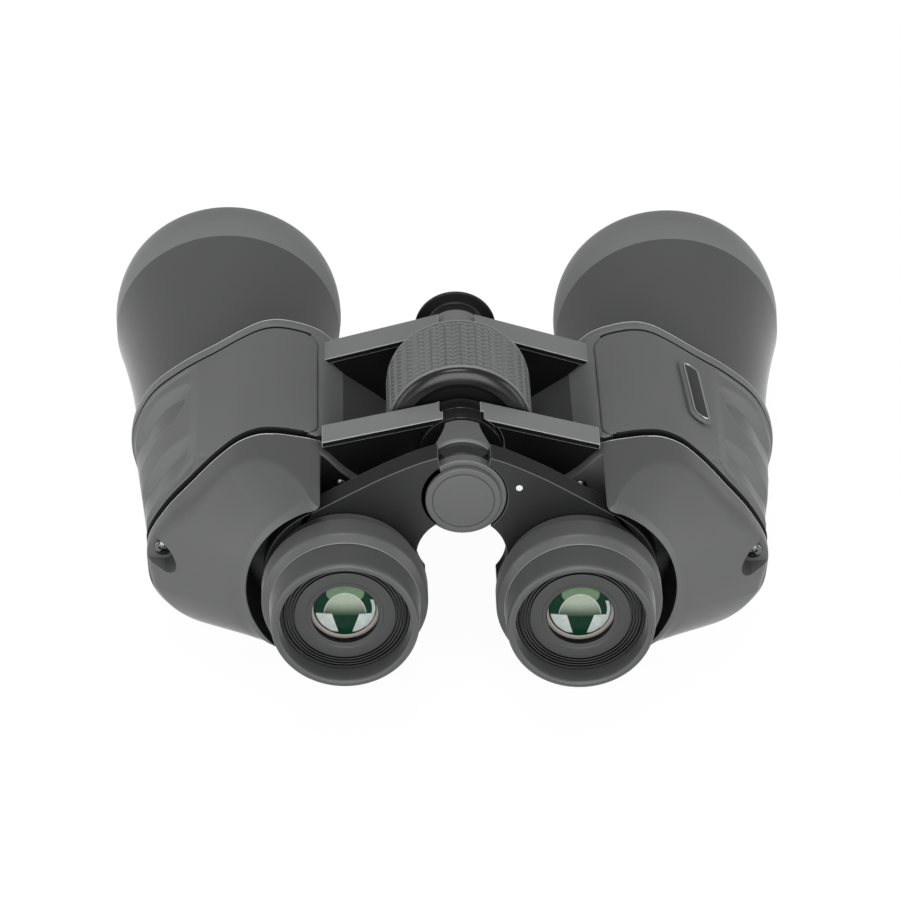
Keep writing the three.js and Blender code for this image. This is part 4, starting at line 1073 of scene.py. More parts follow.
# ---- objective end
@dataclass
class Objective(Assembly):
    """One objective end: flared barrel, hood, lens cell, lens and its lock ring."""

    side: Side
    root_radius: float = 23.8
    flare_growth: float = 7.2
    flare_power: float = 1.6
    wall: float = 2.0
    spigot_radius: float = 21.8
    rear: float = 16.3
    spigot_rear: float = 8.6
    front: float = 69.45
    hood_round: float = 12.0
    hood_taper: float = 0.5
    mouth_radius: float = 26.9
    nose: float = 1.4
    lens_bulge: float = 2.6
    ridges: int = 9
    baffles_front: float = 58.0

    def flare(self, y: Array) -> Array:
        """Outer radius of the barrel: root + growth times share of length to a power."""
        share = np.clip((y - self.rear) / (self.front - self.rear), 0.0, 1.0)
        return self.root_radius + self.flare_growth * share ** self.flare_power

    def barrel(self) -> Shell:
        """The flared tube with its spigot.

        Returns:
            The closed shell.
        """
        y = np.linspace(self.rear, self.front, 64)
        outer = np.stack([self.flare(y), y], 1)
        inner = np.stack([self.flare(y[::-1]) - self.wall, y[::-1]], 1)[:-1]
        root = [[self.spigot_radius - self.wall, self.rear + self.wall / 2],
                [self.spigot_radius - self.wall, self.spigot_rear],
                [self.spigot_radius, self.spigot_rear], [self.spigot_radius, self.rear]]
        points = np.vstack([root, outer, inner])
        radii = np.zeros(len(points))
        radii[[0, 1, 2, 4]] = 0.35
        return revolve(rounded(points, radii), AXES.objective)

    def hood(self, box: Extent) -> Shell:
        """The hood: a slight cone, a quarter ellipse to a flat nose, ridges in its bore.

        Args:
            box: the CAD hood's box.

        Returns:
            The shell.
        """
        angle = quarter(28)
        nose_radius = self.mouth_radius + self.nose
        turn = np.stack([nose_radius + (box.radius - nose_radius) * np.cos(angle),
                         box.front + self.hood_round * (np.sin(angle) - 1)], 1)
        outer = np.vstack([[[box.radius - self.hood_taper, box.rear]], turn])
        levels = np.linspace(box.front - 1.0, box.rear + 0.4, 2 * self.ridges + 1)
        depth = np.where(np.arange(len(levels)) % 2 == 0, 0.0, 0.45)
        bore = np.stack([self.mouth_radius + depth, levels], 1)
        points = np.vstack([outer, [[self.mouth_radius, box.front]], bore,
                            [[self.mouth_radius, box.rear]]])
        radii = np.full(len(points), 0.05)
        radii[len(outer) - 1] = 0.0
        radii[len(outer)] = 0.5
        return revolve(rounded(points, radii, steps=3), AXES.objective)

    def cell(self, box: Extent) -> Shell:
        """The lens cell: a sleeve that closes to a ledge behind the lens.

        Args:
            box: the CAD cell's box.

        Returns:
            The closed shell.
        """
        lens = Extent.of(self.side.node("objective_lens"))
        bore = lens.radius + GAP
        ledge = lens.radius - 1.6
        seat = lens.rear + self.lens_bulge - GAP
        rear_radius = self.flare(np.array(box.rear)) - self.wall - 0.6
        return revolve(rounded([
            [bore, box.front], [bore + self.wall, box.front], [rear_radius, box.rear],
            [ledge, box.rear], [ledge, seat], [bore, seat]], 0.2), AXES.objective)

    def inner_tube(self) -> Shell:
        """Light baffles: a blackened sleeve of shallow steps behind the lens cell.

        Returns:
            The closed shell.
        """
        y = np.linspace(self.spigot_rear + 0.6, self.baffles_front, 25)
        depth = np.where(np.arange(len(y)) % 2 == 0, 0.25, 1.3)
        steps = np.stack([self.flare(y) - self.wall - depth, y], 1)
        throat = y < self.rear + 1.7
        steps[throat, 0] = np.minimum(steps[throat, 0], self.spigot_radius - self.wall - 0.2)
        back = steps[::-1] + np.array([0.2, 0.0])
        return revolve(np.vstack([steps, back]), AXES.objective)

    def build(self) -> None:
        """Makes every piece of this end."""
        side, finishes = self.side, self.finishes
        boxes = {node: Extent.of(f"right_{node}") for node in (
            "objective_hood", "objective_cell", "objective_lens", "lens_retaining_ring")}
        ring = boxes["lens_retaining_ring"]
        profile = ring_profile(ring.radius - 1.4, ring.radius, ring.front, ring.rear, 0.25)
        rows = [
            ("objective_barrel", self.barrel(), finishes.barrel),
            ("objective_hood", self.hood(boxes["objective_hood"]), finishes.hood),
            ("objective_cell", self.cell(boxes["objective_cell"]), finishes.inner),
            ("objective_lens",
             lens(boxes["objective_lens"], self.lens_bulge, AXES.objective, 24),
             finishes.objective),
            ("lens_retaining_ring", revolve(profile, AXES.objective), finishes.inner),
        ]
        for node, shell, finish in rows:
            self.bench.stand_in(side.node(node), shell.mirrored(side.value), finish)
        self.bench.piece(side.node("barrel_baffles"), self.inner_tube().mirrored(side.value),
                         finishes.inner, body=side.barrel, slot="black_paint")


# ---- prism housing
class Skin:
    """The housing's skin: at each depth the front and the joint outlines mixed in a line."""

    def __init__(self, front_y: float, joint_y: float) -> None:
        """Samples both outlines by equal steps of arc length.

        Args:
            front_y: where the front outline stands.
            joint_y: where the joint outline stands.
        """
        self.front_y = front_y
        self.joint_y = joint_y
        self.outlines = [Section.front(), Section.joint()]
        self.normals = [normals(outline) for outline in self.outlines]

    def at(self, share: Array, y: Array, lift: Union[float, Array] = 0.0) -> Array:
        """Points on the skin.

        Args:
            share: share of the way round, from the outer side over the crest.
            y: depth.
            lift: height above the skin.

        Returns:
            The points, in their place on the right half.
        """
        count = len(self.outlines[0])
        mix = (self.front_y - y) / (self.front_y - self.joint_y)
        table = np.arange(count + 1) / count

        def read(values: Array) -> Array:
            """Values round the outline at the wanted shares."""
            closed = np.vstack([values, values[:1]])
            return np.stack([np.interp(share % 1.0, table, closed[:, k]) for k in (0, 1)], -1)

        place, facing = (read(front) * (1 - mix[..., None]) + read(joint) * mix[..., None]
                         for front, joint in (self.outlines, self.normals))
        facing /= np.linalg.norm(facing, axis=-1, keepdims=True)
        flat = place + facing * np.asarray(lift)[..., None] + np.array(AXES.objective)
        return np.stack([flat[..., 0], y + 0.0 * share, flat[..., 1]], -1)


@dataclass
class PrismHousing(Assembly):
    """One prism housing with its rubber grip panel."""

    side: Side
    front_y: float = 12.0
    joint_y: float = -39.5
    lip_front: float = 16.0
    lip_radius: float = 25.2
    bore_radius: float = 22.05
    bore_floor: float = 8.4
    lip_edge: float = 1.0
    facet_x: float = -31.2
    panel_front: float = 11.0
    panel_rear: float = -37.5
    panel_inner: tuple[float, float] = (0.3385, 0.336)
    panel_outer: tuple[float, float] = (-0.195, -0.169)
    panel_corner: float = 4.4
    panel_edge: float = 0.55
    panel_thickness: float = 2.8
    groove: float = 0.30
    band_depth: float = 1.4
    perimeter: tuple[float, float] = (205.6, 190.3)
    girth: float = 198.0
    ridge: tuple[float, float, float] = (0.172, 0.161, 0.146)
    dent_depth: float = 2.1
    dent_cap: float = 10.0
    upper_dent: tuple = (27.4, 6.8, 3.5, -7.8)
    lower_dent: tuple = (25.8, -17.0, -20.8, -30.5)

    def mix(self, y: Array) -> Array:
        """Share of the way from the front to the joint."""
        return (self.front_y - y) / (self.front_y - self.joint_y)

    def limits(self, y: Array) -> tuple[Array, Array, Array]:
        """The skin's girth and the panel's edges, each mixed in a line.

        Args:
            y: depth.

        Returns:
            The girth in millimetres, and the shares where the inner and the outer edge lie.
        """
        mix = self.mix(y)
        return tuple(front + (joint - front) * mix for front, joint in (
            self.perimeter, self.panel_inner, self.panel_outer))

    def run(self, share: Array, y: Array) -> tuple[Array, Array]:
        """Millimetres along the skin from the panel's inner and outer edges, inwards."""
        around, inner, outer = self.limits(y)
        return (inner - share) * around, (share - outer) * around

    def outside(self, share: Array, y: Array) -> Array:
        """Distance outside the panel's rounded rectangle, below zero inside it.

        Args:
            share: share of the way round.
            y: depth.

        Returns:
            Millimetres.
        """
        inner, outer = self.run(share, y)
        across = -np.minimum(inner, outer)
        along = np.maximum(y - self.panel_front, self.panel_rear - y)
        corner = self.panel_corner
        ax, ay = across + corner, along + corner
        return np.hypot(np.maximum(ax, 0), np.maximum(ay, 0)) + \
            np.minimum(np.maximum(ax, ay), 0) - corner

    def housing(self, skin: Skin) -> Shell:
        """The housing: skin with a bed for the panel, a lip in front of it, and the bore.

        Args:
            skin: the skin.

        Returns:
            The closed shell.
        """
        near = np.linspace(-4.0, 1.2, 27)
        share = np.unique(np.round(np.concatenate([
            np.linspace(0.0, 1.0, 240, endpoint=False),
            self.panel_inner[0] - near / 200.0, 1 + self.panel_outer[0] + near / 200.0,
            1 + self.panel_outer[1] + near / 200.0]), 5))
        y = np.unique(np.round(np.concatenate([
            np.linspace(self.joint_y + 0.4, self.front_y, 24),
            self.panel_rear + near[::-1] * -1.0, self.panel_front + near]), 3))
        y = y[(y > self.joint_y + 0.39) & (y <= self.front_y)]
        grid_share, grid_y = np.meshgrid(share, y)
        wrapped = np.where(grid_share > 0.6, grid_share - 1.0, grid_share)
        gap = self.outside(wrapped, grid_y)
        bed = -self.panel_thickness * (1 - ease((gap - 0.05) / self.groove))
        inner, outer = self.run(wrapped, grid_y)
        beside = ease((np.minimum(inner, outer) + 0.6) / 1.2)
        band = -self.band_depth * ease((self.panel_rear + 0.15 - grid_y) / 0.3) * beside
        body = skin.at(grid_share, grid_y, np.minimum(bed, band))
        flat_y = np.full_like(share, self.joint_y)
        rear_rows = [skin.at(share, flat_y + 0.4 * (1 - np.cos(a)),
                             -0.4 * (1 - np.sin(a)) - self.band_depth * beside[0])
                     for a in quarter(4)[:-1]]
        axis = np.array(AXES.objective)
        rim = body[-1][:, [0, 2]] - axis
        reach = np.hypot(rim[:, 0], rim[:, 1])
        lip = rim * (np.maximum(reach, self.lip_radius) / reach)[:, None]
        outward = lip / np.linalg.norm(lip, axis=1)[:, None]
        edge, turn = self.lip_edge, quarter(8)
        bore = outward * self.bore_radius
        flats = [lip - 0.4 * outward, lip,
                 *(lip - edge * (1 - np.cos(a)) * outward for a in turn), bore, bore]
        levels = [self.front_y + 0.15, self.front_y + 0.6,
                  *(self.lip_front - edge * (1 - np.sin(turn))), self.lip_front, self.bore_floor]
        front_rows = rings([axis + flat for flat in flats], levels)
        return capped(np.stack([*rear_rows, *body, *front_rows]))

    def dent(self, along: Array, y: Array, place: Sequence[float]) -> Array:
        """A thumb dent: a floor that deepens forwards, with walls in front and round its end.

        The floor is a band round the skin that ends in half an ellipse; the depth falls off
        in a line over the wall's width outside it, and fades towards the underside.

        Args:
            along: millimetres along the skin from its start.
            y: depth.
            place: where the end stands, then y of the wall's front edge, the floor's front
                edge and the floor's rear edge.

        Returns:
            Depth from 0 to 1.
        """
        end, front, valley, rear = place
        middle = valley - 0.33 * (valley - rear)
        half = np.where(y > middle, valley - middle, middle - rear)
        past = np.maximum(along - (end - self.dent_cap), 0.0)
        far = np.hypot(past / self.dent_cap, (y - middle) / half) + 1e-6
        slope = np.hypot(past / self.dent_cap ** 2, (y - middle) / half ** 2) + 1e-6
        outside = np.maximum(far * (far - 1.0) / slope, 0.0)
        wall = 0.7 + (front - valley - 0.7) * ease((y - middle) / (valley - middle))
        floor = 0.15 + 0.85 * np.clip((y - rear) / (valley - rear), 0.0, 1.0)
        return floor * np.clip(1.0 - outside / wall, 0.0, 1.0) * ease((along + 3.0) / 15.0)

    def relief(self, share: Array, y: Array) -> Array:
        """Height of the panel's face: ridge, two thumb dents and a slot.

        Args:
            share: share of the way round.
            y: depth.

        Returns:
            Height below the skin, as a number of zero or less.
        """
        along = share * self.girth
        line = np.interp(self.mix(y), [0.0, 0.5, 1.0], self.ridge) * self.girth
        shoulder = ease((line - along) / 4.5) * ease((9.9 - y) / 0.5) * ease((y + 37.2) / 2.0)
        dents = self.dent(along, y, self.upper_dent) + self.dent(along, y, self.lower_dent)
        top = -31.6 + 2.0 * ease((along - 19.0) / 8.5)
        end = 27.6 - (y + 29.5) * 1.05
        slot = ease((top - y) / 0.6) * ease((y + 35.9) / 0.7) * ease((end - along) / 0.8) * \
            ease((along + 4.0) / 6.0)
        return -0.5 * shoulder - self.dent_depth * dents - 1.0 * slot

    def patch(self, pull: float, rows: int, columns: int) -> tuple[Array, Array]:
        """Grid of shares and depths over the panel, drawn in by pull, with round corners.

        Args:
            pull: how far inside the panel's edge the grid ends.
            rows: steps along Y.
            columns: steps round the skin.

        Returns:
            Shares and depths.
        """
        corner = self.panel_corner - pull
        turn = corner * (1 - np.cos(quarter(9)))
        length = self.panel_front - self.panel_rear - 2 * pull
        middle = np.linspace(corner, length - corner, rows)[1:-1]
        down = np.concatenate([turn, middle, (length - turn)[::-1]])
        near = np.minimum(np.minimum(down, length - down), corner)
        cut = corner - np.sqrt(np.maximum(corner ** 2 - (corner - near) ** 2, 0.0)) + pull
        y = self.panel_front - pull - down
        around, inner, outer = self.limits(y)
        low, high = outer + cut / around, inner - cut / around
        step = np.linspace(0.0, 1.0, columns)[None, :]
        share = low[:, None] + (high - low)[:, None] * step
        return share, y[:, None] + 0.0 * share

    def panel(self, skin: Skin, rows: int = 150, columns: int = 260) -> Shell:
        """The grip panel: its face in relief, a rounded rim, a wall and a floor.

        Args:
            skin: the skin that it wraps.
            rows: steps along Y.
            columns: steps round the skin.

        Returns:
            The closed shell.
        """
        def loop(grid: Array) -> Array:
            """The points round a grid's edge."""
            return np.concatenate([grid[0, :-1], grid[:-1, -1], grid[-1, :0:-1], grid[:0:-1, 0]])

        share, y = self.patch(self.panel_edge, rows, columns)
        height = self.relief(share, y)
        shell = Shell().grid(skin.at(share, y, height))
        level = loop(height)
        rim = []
        for a in quarter(6):
            edge_share, edge_y = self.patch(self.panel_edge * (1 - np.sin(a)), rows, columns)
            rim.append(skin.at(loop(edge_share), loop(edge_y),
                               level - self.panel_edge * (1 - np.cos(a))))
        edge_share, edge_y = self.patch(0.0, rows, columns)
        rim.append(skin.at(loop(edge_share), loop(edge_y), -self.panel_thickness + 0.0 * level))
        floor = skin.at(edge_share, edge_y, -self.panel_thickness + 0.0 * edge_y)
        return shell.grid(np.stack(rim), wrap_columns=True).grid(floor)

    def in_pit(self, middle: Array, _: Array) -> Array:
        """Picks all that lies further towards the hinge than the facet's outer edge, for painted
        shade.
        """
        return np.abs(middle[:, 0]) - AXES.objective[0] < self.facet_x

    def in_recess(self, middle: Array, facing: Array) -> Array:
        """Picks the recess behind the panel and the bed's wall in front of it, for painted shade.

        Args:
            middle: face centres.
            facing: face normals.

        Returns:
            True on the recess and the wall.
        """
        behind = within(middle[:, 1], self.joint_y + 0.1, self.panel_rear)
        ahead = within(middle[:, 1], self.panel_front - 0.4, self.front_y)
        return behind | (ahead & (facing[:, 1] < -0.45))

    def at_lip(self, middle: Array, facing: Array) -> Array:
        """Picks the start of the lip's rounded front edge, for a painted highlight."""
        return (middle[:, 1] > self.lip_front - self.lip_edge) & \
            within(facing[:, 1], 0.05, 0.5) & (facing[:, 2] > 0.0)

    def at_seam(self, middle: Array, facing: Array) -> Array:
        """Picks the panel's rear wall, for painted shade."""
        return (middle[:, 1] < self.panel_rear + 0.35) & (facing[:, 1] < -0.3)

    def build(self) -> None:
        """Makes the housing and its panel."""
        skin, finishes, sign = Skin(self.front_y, self.joint_y), self.finishes, self.side.value
        # the housing's hollows, recess and bed wall take painted shade, the lip a painted
        # highlight
        self.bench.stand_in(
            self.side.node("prism_housing"), self.housing(skin).mirrored(sign), finishes.casting,
            shaded=[(finishes.pit_painted_shade, self.in_pit), (finishes.inner, self.in_recess),
                    (finishes.cover_edge, self.at_lip)])
        # dent floors take painted shade, back-looking walls painted light, the seam wall painted
        # shade
        self.bench.stand_in(
            self.side.node("grip_panel"), self.panel(skin).mirrored(sign), finishes.armour,
            shaded=[(finishes.dent, lambda _, facing: facing[:, 1] > 0.02),
                    (finishes.wall, lambda _, facing: facing[:, 1] < -0.4),
                    (finishes.inner, self.at_seam)])
        for node, finish in (("rear_prism", finishes.optic), ("front_prism", finishes.optic),
                             ("prism_shelf", finishes.shelf)):
            self.bench.dress(self.side.node(node), finish)


@dataclass
class Badge(Assembly):
    """The blank plate on the right panel: a dark field inside a bright raised rim."""

    length: float = 24.0
    width: float = 5.2
    thickness: float = 0.7
    lean: float = 1.1
    tilt: float = 34.0
    corner: float = 2.2
    rim: float = 0.6
    stand: float = 0.12
    shift: tuple[float, float, float] = (-1.1, -0.4, 0.75)

    def outline(self, pull: float) -> Array:
        """The slanting plate's rim, drawn in by pull.

        Args:
            pull: how far inside the plate's edge it lies.

        Returns:
            The closed outline.
        """
        x, y = self.width / 2, self.length / 2
        slant = [[-x - self.lean, y], [x - self.lean, y], [x + self.lean, -y],
                 [-x + self.lean, -y]]
        return inset(spaced(rounded(slant, self.corner, steps=8), 160), pull)

    def placed(self, shell: Shell, box: Extent) -> Shell:
        """A plate drawn along Y, laid on the panel: its Y becomes height, then it tilts.

        Args:
            shell: the plate.
            box: the CAD plate's box.

        Returns:
            The same shell.
        """
        lay = Matrix(((1, 0, 0), (0, 0, 1), (0, 1, 0)))
        lean = Matrix.Rotation(np.radians(self.tilt), 3, "Y")
        shell.turned(lay).turned(lean)
        middle = (box.low + box.high) / 2 + np.array(self.shift)
        up = np.array(lean @ Vector((0, 0, 1))) * (self.thickness / 2)
        return shell.moved(middle - up)

    def build(self) -> None:
        """Makes the field and the rim."""
        box = Extent.of("right_badge_plate")
        field_top = self.thickness - self.stand
        base = self.placed(plate(self.outline(0.0), field_top, 0.0, 0.2), box)
        self.bench.piece("right_badge_field", base, self.finishes.shell, ["right_badge_plate"])
        outer, inner = self.outline(0.05), self.outline(self.rim)
        bed = self.placed(plate(self.outline(-0.9), 0.38, -0.5, 0.25), box)
        self.bench.piece("right_badge_bed", bed, self.finishes.armour, body="right_barrel",
                         slot="grip_rubber")
        rise = [field_top - 0.1, self.thickness - 0.08, self.thickness]
        loops = [outer, outer, inset(outer, 0.1), inset(inner, -0.1), inner, inner]
        ring = Shell().grid(rings(loops, rise + rise[::-1]), wrap_rows=True, wrap_columns=True)
        self.bench.piece("right_badge_rim", self.placed(ring, box), self.finishes.chrome,
                         body="right_barrel", slot="bare_metal")


# ---- rear cover
@dataclass
class RearCover(Assembly):
    """One rear cover: low plate, block over the prism, swept shoulder round the eyepiece."""

    side: Side
    front: float = -39.8
    plate_rear: float = -45.5
    floor: float = -54.0
    rear: float = -73.0
    scoop_radius: float = 25.0
    rim: float = 1.4
    corner_round: float = 3.0
    tip_round: float = 1.6
    notch_radius: float = 3.7
    outer_screw: tuple[float, float] = (15.2, 4.2)
    inner_screw: tuple[float, float] = (-30.5, 23.6)
    bore_radius: float = 13.0
    screw_radius: tuple[float, float] = (2.3, 1.85)
    screw_height: float = 1.4
    bulge: float = 1.1
    crease: tuple = ((-53.0, -46.0), (-25.0, -46.0), (-6.0, -46.2), (-1.4, -46.8), (5.8, -48.6),
                     (12.0, -49.8), (18.5, -50.3), (30.0, -50.0), (36.3, -49.8), (42.8, -50.4),
                     (49.3, -51.8), (53.2, -52.9), (58.0, -55.0), (61.6, -57.8),
                     (65.4, -61.6), (68.3, -65.2), (70.3, -68.4), (72.0, -70.6),
                     (74.5, -71.8))
    roundness: tuple = ((-53.0, 7.0), (-25.0, 9.0), (0.0, 6.0), (20.0, 3.5), (35.0, 2.2),
                        (60.0, 1.8), (75.0, 1.4))

    def shoulder(self, columns: int = 420) -> Shell:
        """The swept shoulder between the scoop's circle and the hump's outline.

        Across each line from the circle (0) to the outline (1) the section runs from the
        scoop's floor up its wall, over a rounded rim, along a swelling face to the crease,
        and forward along the roof to the seam.

        Args:
            columns: steps along the sweep.

        Returns:
            The closed shell.
        """
        eye = np.array([EYE_X, EYE_Z])
        under = arc((0, 0), Section.joint_radius, -146.0, -24.0, 60)
        over = smooth([under[-1], *Section.crest, [-22.2, 34.3], [-24.9, 33.5]], 300,
                      closed=False)
        outline = np.vstack([[[-16.9, -11.4]], under[1:], over[1:]])
        outer = spaced(outline, columns, closed=False)
        run = np.linspace(0.0, 1.0, columns)
        bearing = np.degrees(np.arctan2(*(outer - eye).T[::-1]))
        low, high = -52.2, 75.0
        angle = np.radians(0.65 * np.clip(bearing, low, high) + 0.35 * (low + (high - low) * run))
        angle[[0, -1]] = np.radians([low, high])
        inner = eye + self.scoop_radius * np.stack([np.cos(angle), np.sin(angle)], 1)
        width = np.linalg.norm(outer - inner, axis=1)
        crease = np.interp(bearing, *np.array(self.crease).T)
        soft = np.interp(bearing, *np.array(self.roundness).T)
        zero = 0.0 * width
        from_tip, from_corner = (self.scoop_radius * np.abs(angle - angle[k]) for k in (0, -1))
        rear = self.rear + self.turned_end(from_tip, self.tip_round) + \
            self.turned_end(from_corner, self.corner_round)
        band = np.minimum(self.rim, width * 0.4)
        ridge = np.maximum(crease, rear + 0.8)
        corners = np.stack([
            np.stack([zero, zero + self.floor + 1.5], 1),
            np.stack([zero, rear + 0.7 * band], 1),
            np.stack([band, rear + (ridge - rear) * band / width], 1),
            np.stack([width, ridge], 1),
            np.stack([width, zero + self.front], 1)], 1)
        reach = np.stack([zero, band * 0.4, zero + 0.25, np.minimum(soft, width * 0.4),
                          zero + 0.9], 1)
        profile = self.section(corners, reach)
        across = profile[..., 0] / width[:, None]
        lens = np.clip(across, 0.0, 1.0)
        swell = self.bulge * np.minimum(1.0, width / 30.0)[:, None] * 4 * lens * (1 - lens)
        on_face = ease((ridge[:, None] - profile[..., 1] + 2.0) / 4.0) * \
            ease((profile[..., 0] - band[:, None]) / 4.0)
        depth = np.maximum(profile[..., 1] - swell * on_face, rear[:, None])
        flat = inner[:, None] + (outer - inner)[:, None] * across[..., None]
        flat = flat + np.array(AXES.objective)
        grid = np.stack([flat[..., 0], depth, flat[..., 1]], -1).transpose(1, 0, 2)
        return Shell().grid(grid, wrap_rows=True).cap(grid[:, 0]).cap(grid[:, -1])

    @staticmethod
    def turned_end(distance: Array, radius: float) -> Array:
        """How far a quarter circle draws an end back, at each distance from it."""
        short = np.maximum(radius - distance, 0.0)
        return radius - np.sqrt(radius ** 2 - short ** 2)

    def section(self, corners: Array, reach: Array, steps: int = 10) -> Array:
        """Rounds a stack of closed sections at once, each corner as a parabola.

        Args:
            corners: sections by corners by two.
            reach: how far each corner's curve reaches along its sides.
            steps: spans in each curve.

        Returns:
            Sections by points by two.
        """
        curve, _ = corner_curves(corners, reach, steps)
        face = curve[:, 2, -1:], curve[:, 3, :1]
        fill = np.linspace(0.0, 1.0, 26)[None, 1:-1, None]
        between = face[0] * (1 - fill) + face[1] * fill
        return np.concatenate([*curve[:, :3].swapaxes(0, 1), between,
                               *curve[:, 3:].swapaxes(0, 1)], 1)

    def pocket(self) -> Shell:
        """The round-ended pocket round the outer screw, open towards the outer side.

        Returns:
            The solid to cut away.
        """
        x, z = self.outer_screw
        reach = self.notch_radius
        mouth = [[x + 9.0, z + reach + 1.0], [x + 9.0, z - reach + 1.0]]
        outline = np.vstack([arc((x, z), reach, 100.0, 260.0, 40), mouth[::-1]])
        return prism(from_objective(outline), self.plate_rear - 0.02, self.rear - 5.0)

    def cover(self) -> bpy.types.Mesh:
        """The whole cover.

        Returns:
            The shoulder with its pocket; the plate and the block, bored for the eyepiece's
            tube; and the collar round that bore.
        """
        low = plate(from_objective(inset(Section.joint(), 0.08)), self.front, self.plate_rear, 0.6)
        round_side = arc((EYE_X, EYE_Z), self.scoop_radius + 0.3, -74.0, 74.4, 80)
        wall = [[Section.wall_x, round_side[-1, 1]], [Section.wall_x, round_side[0, 1]]]
        block = plate(from_objective(spaced(np.vstack([round_side, wall]), 600)),
                      self.front - 1.0, self.floor, 0.5)
        collar = ring_profile(self.bore_radius + 0.2, self.bore_radius + 1.2, self.floor + 1.0,
                              self.floor - 0.6, 0.3)
        bore = rod(self.bore_radius, self.front + 0.5, self.floor - 2.0, AXES.eye)
        seat = carve([low, block], [bore])
        return merged(carve([self.shoulder()], [self.pocket()]),
                      revolve(collar, AXES.eye).mesh("collar"), seat)

    def screw(self, centre: tuple[float, float], radius: float, turn: float) -> bpy.types.Mesh:
        """A pan-headed screw with a cross recess.

        Args:
            centre: x and z from the objective axis.
            radius: of the head.
            turn: angle of the cross, in degrees.

        Returns:
            The mesh.
        """
        seat = self.plate_rear - 0.05
        crown = self.plate_rear - self.screw_height
        share = np.linspace(0.0, 1.0, 12) * np.pi / 2
        dome = np.stack([radius * np.sin(share), crown + 0.95 * (1 - np.cos(share))], 1)
        place = tuple(np.array(centre) + AXES.objective)
        foot = [[radius, seat], [1.2, seat], [1.2, self.plate_rear + 6.0],
                [0.0, self.plate_rear + 6.0]]
        head = revolve(np.vstack([dome, foot]), place, SMALL_SIDES, closed=False)
        cuts = []
        for quarter in (0.0, 90.0):
            angle = np.radians(turn + quarter)
            axis = np.array([np.cos(angle), np.sin(angle)])
            cross = np.array([-axis[1], axis[0]])
            slot = np.array([a * axis * 0.6 * radius + b * cross * 0.3
                             for a, b in ((-1, -1), (1, -1), (1, 1), (-1, 1))])
            cuts.append(capped(rings([slot * 0.55 + place, slot + place],
                                     [crown + 1.0, crown - 0.3])))
        return carve([head], cuts)

    @staticmethod
    def from_eye(middle: Array) -> tuple[Array, Array]:
        """x, outwards, and z of face centres from the eyepiece's axis."""
        return np.abs(middle[:, 0]) - AXES.eye[0], middle[:, 2] - AXES.eye[1]

    def in_scoop(self, middle: Array, facing: Array) -> Array:
        """Picks the scoop's wall and floor, for painted shade.

        Args:
            middle: face centres.
            facing: face normals.

        Returns:
            True on the scoop.
        """
        across, rise = self.from_eye(middle)
        facing_in = across * facing[:, 0] * np.sign(middle[:, 0]) + rise * facing[:, 2]
        inside = np.hypot(across, rise) < self.scoop_radius + 0.1
        return inside & (facing_in < 0) & (middle[:, 1] > self.rear + 1.2)

    def at_front_edge(self, middle: Array, facing: Array) -> Array:
        """Picks the thin rounded edge that the cover turns to the seam, for a painted highlight.
        """
        return (middle[:, 1] > self.front - 0.9) & within(facing[:, 1], 0.02, 0.9)

    def in_pocket(self, middle: Array, facing: Array) -> Array:
        """Picks the walls of the outer screw's pocket, for painted shade.

        Args:
            middle: face centres.
            facing: face normals.

        Returns:
            True on the pocket's walls.
        """
        x, z = np.array(self.outer_screw) + AXES.objective
        reach = np.hypot(np.abs(middle[:, 0]) - x, middle[:, 2] - z)
        return (reach < self.notch_radius + 0.1) & (np.abs(facing[:, 1]) < 0.5) & \
            (middle[:, 1] < self.plate_rear + 0.1)

    def on_band(self, middle: Array, facing: Array) -> Array:
        """Picks the chamfered band round the scoop, for painted light."""
        return (np.hypot(*self.from_eye(middle)) < self.scoop_radius + self.rim) & \
            (facing[:, 1] < -0.3) & (middle[:, 1] < self.floor - 1.0)

    def on_roof(self, middle: Array, facing: Array) -> Array:
        """Picks the roof between crease and seam on the upper side, for painted shade.

        Args:
            middle: face centres.
            facing: face normals.

        Returns:
            True on the roof.
        """
        across, rise = self.from_eye(middle)
        crease = np.interp(np.degrees(np.arctan2(rise, across)), *np.array(self.crease).T)
        return (middle[:, 1] > crease - 0.4) & (facing[:, 2] > 0.1)

    def sided(self, mesh: bpy.types.Mesh) -> bpy.types.Mesh:
        """A mesh drawn on the right half, mirrored where this is the left one."""
        if self.side is Side.LEFT:
            mesh.transform(Matrix.Scale(-1, 4, (1, 0, 0)))
            mesh.flip_normals()
        return mesh

    def build(self) -> None:
        """Makes the cover and its screws."""
        side, finishes = self.side, self.finishes
        # roof, pocket and scoop take painted shade, the scoop band painted light, the front edge a
        # painted highlight
        self.bench.stand_in(
            side.node("rear_cover"), self.sided(self.cover()), finishes.cover,
            shaded=[(finishes.roof, self.on_roof), (finishes.pit_painted_shade, self.in_pocket),
                    (finishes.cover_rim, self.on_band), (finishes.inner, self.in_scoop),
                    (finishes.cover_edge, self.at_front_edge)])
        for place, centre, radius, turn in (
                ("outer", self.outer_screw, self.screw_radius[0], 28.0),
                ("inner", self.inner_screw, self.screw_radius[1], 70.0)):
            self.bench.stand_in(side.node(f"{place}_cover_screw"),
                                self.sided(self.screw(centre, radius, turn)), finishes.screw)


# ---- hinge
@dataclass(frozen=True)
class Arm:
    """Sizes of one pair of hinge arms, measured from the hinge axis."""

    name: str
    front: float
    rear: float
    lug_front: float
    lug_rear: float
    lug_radius: float
    top_inner: float
    top_outer: float


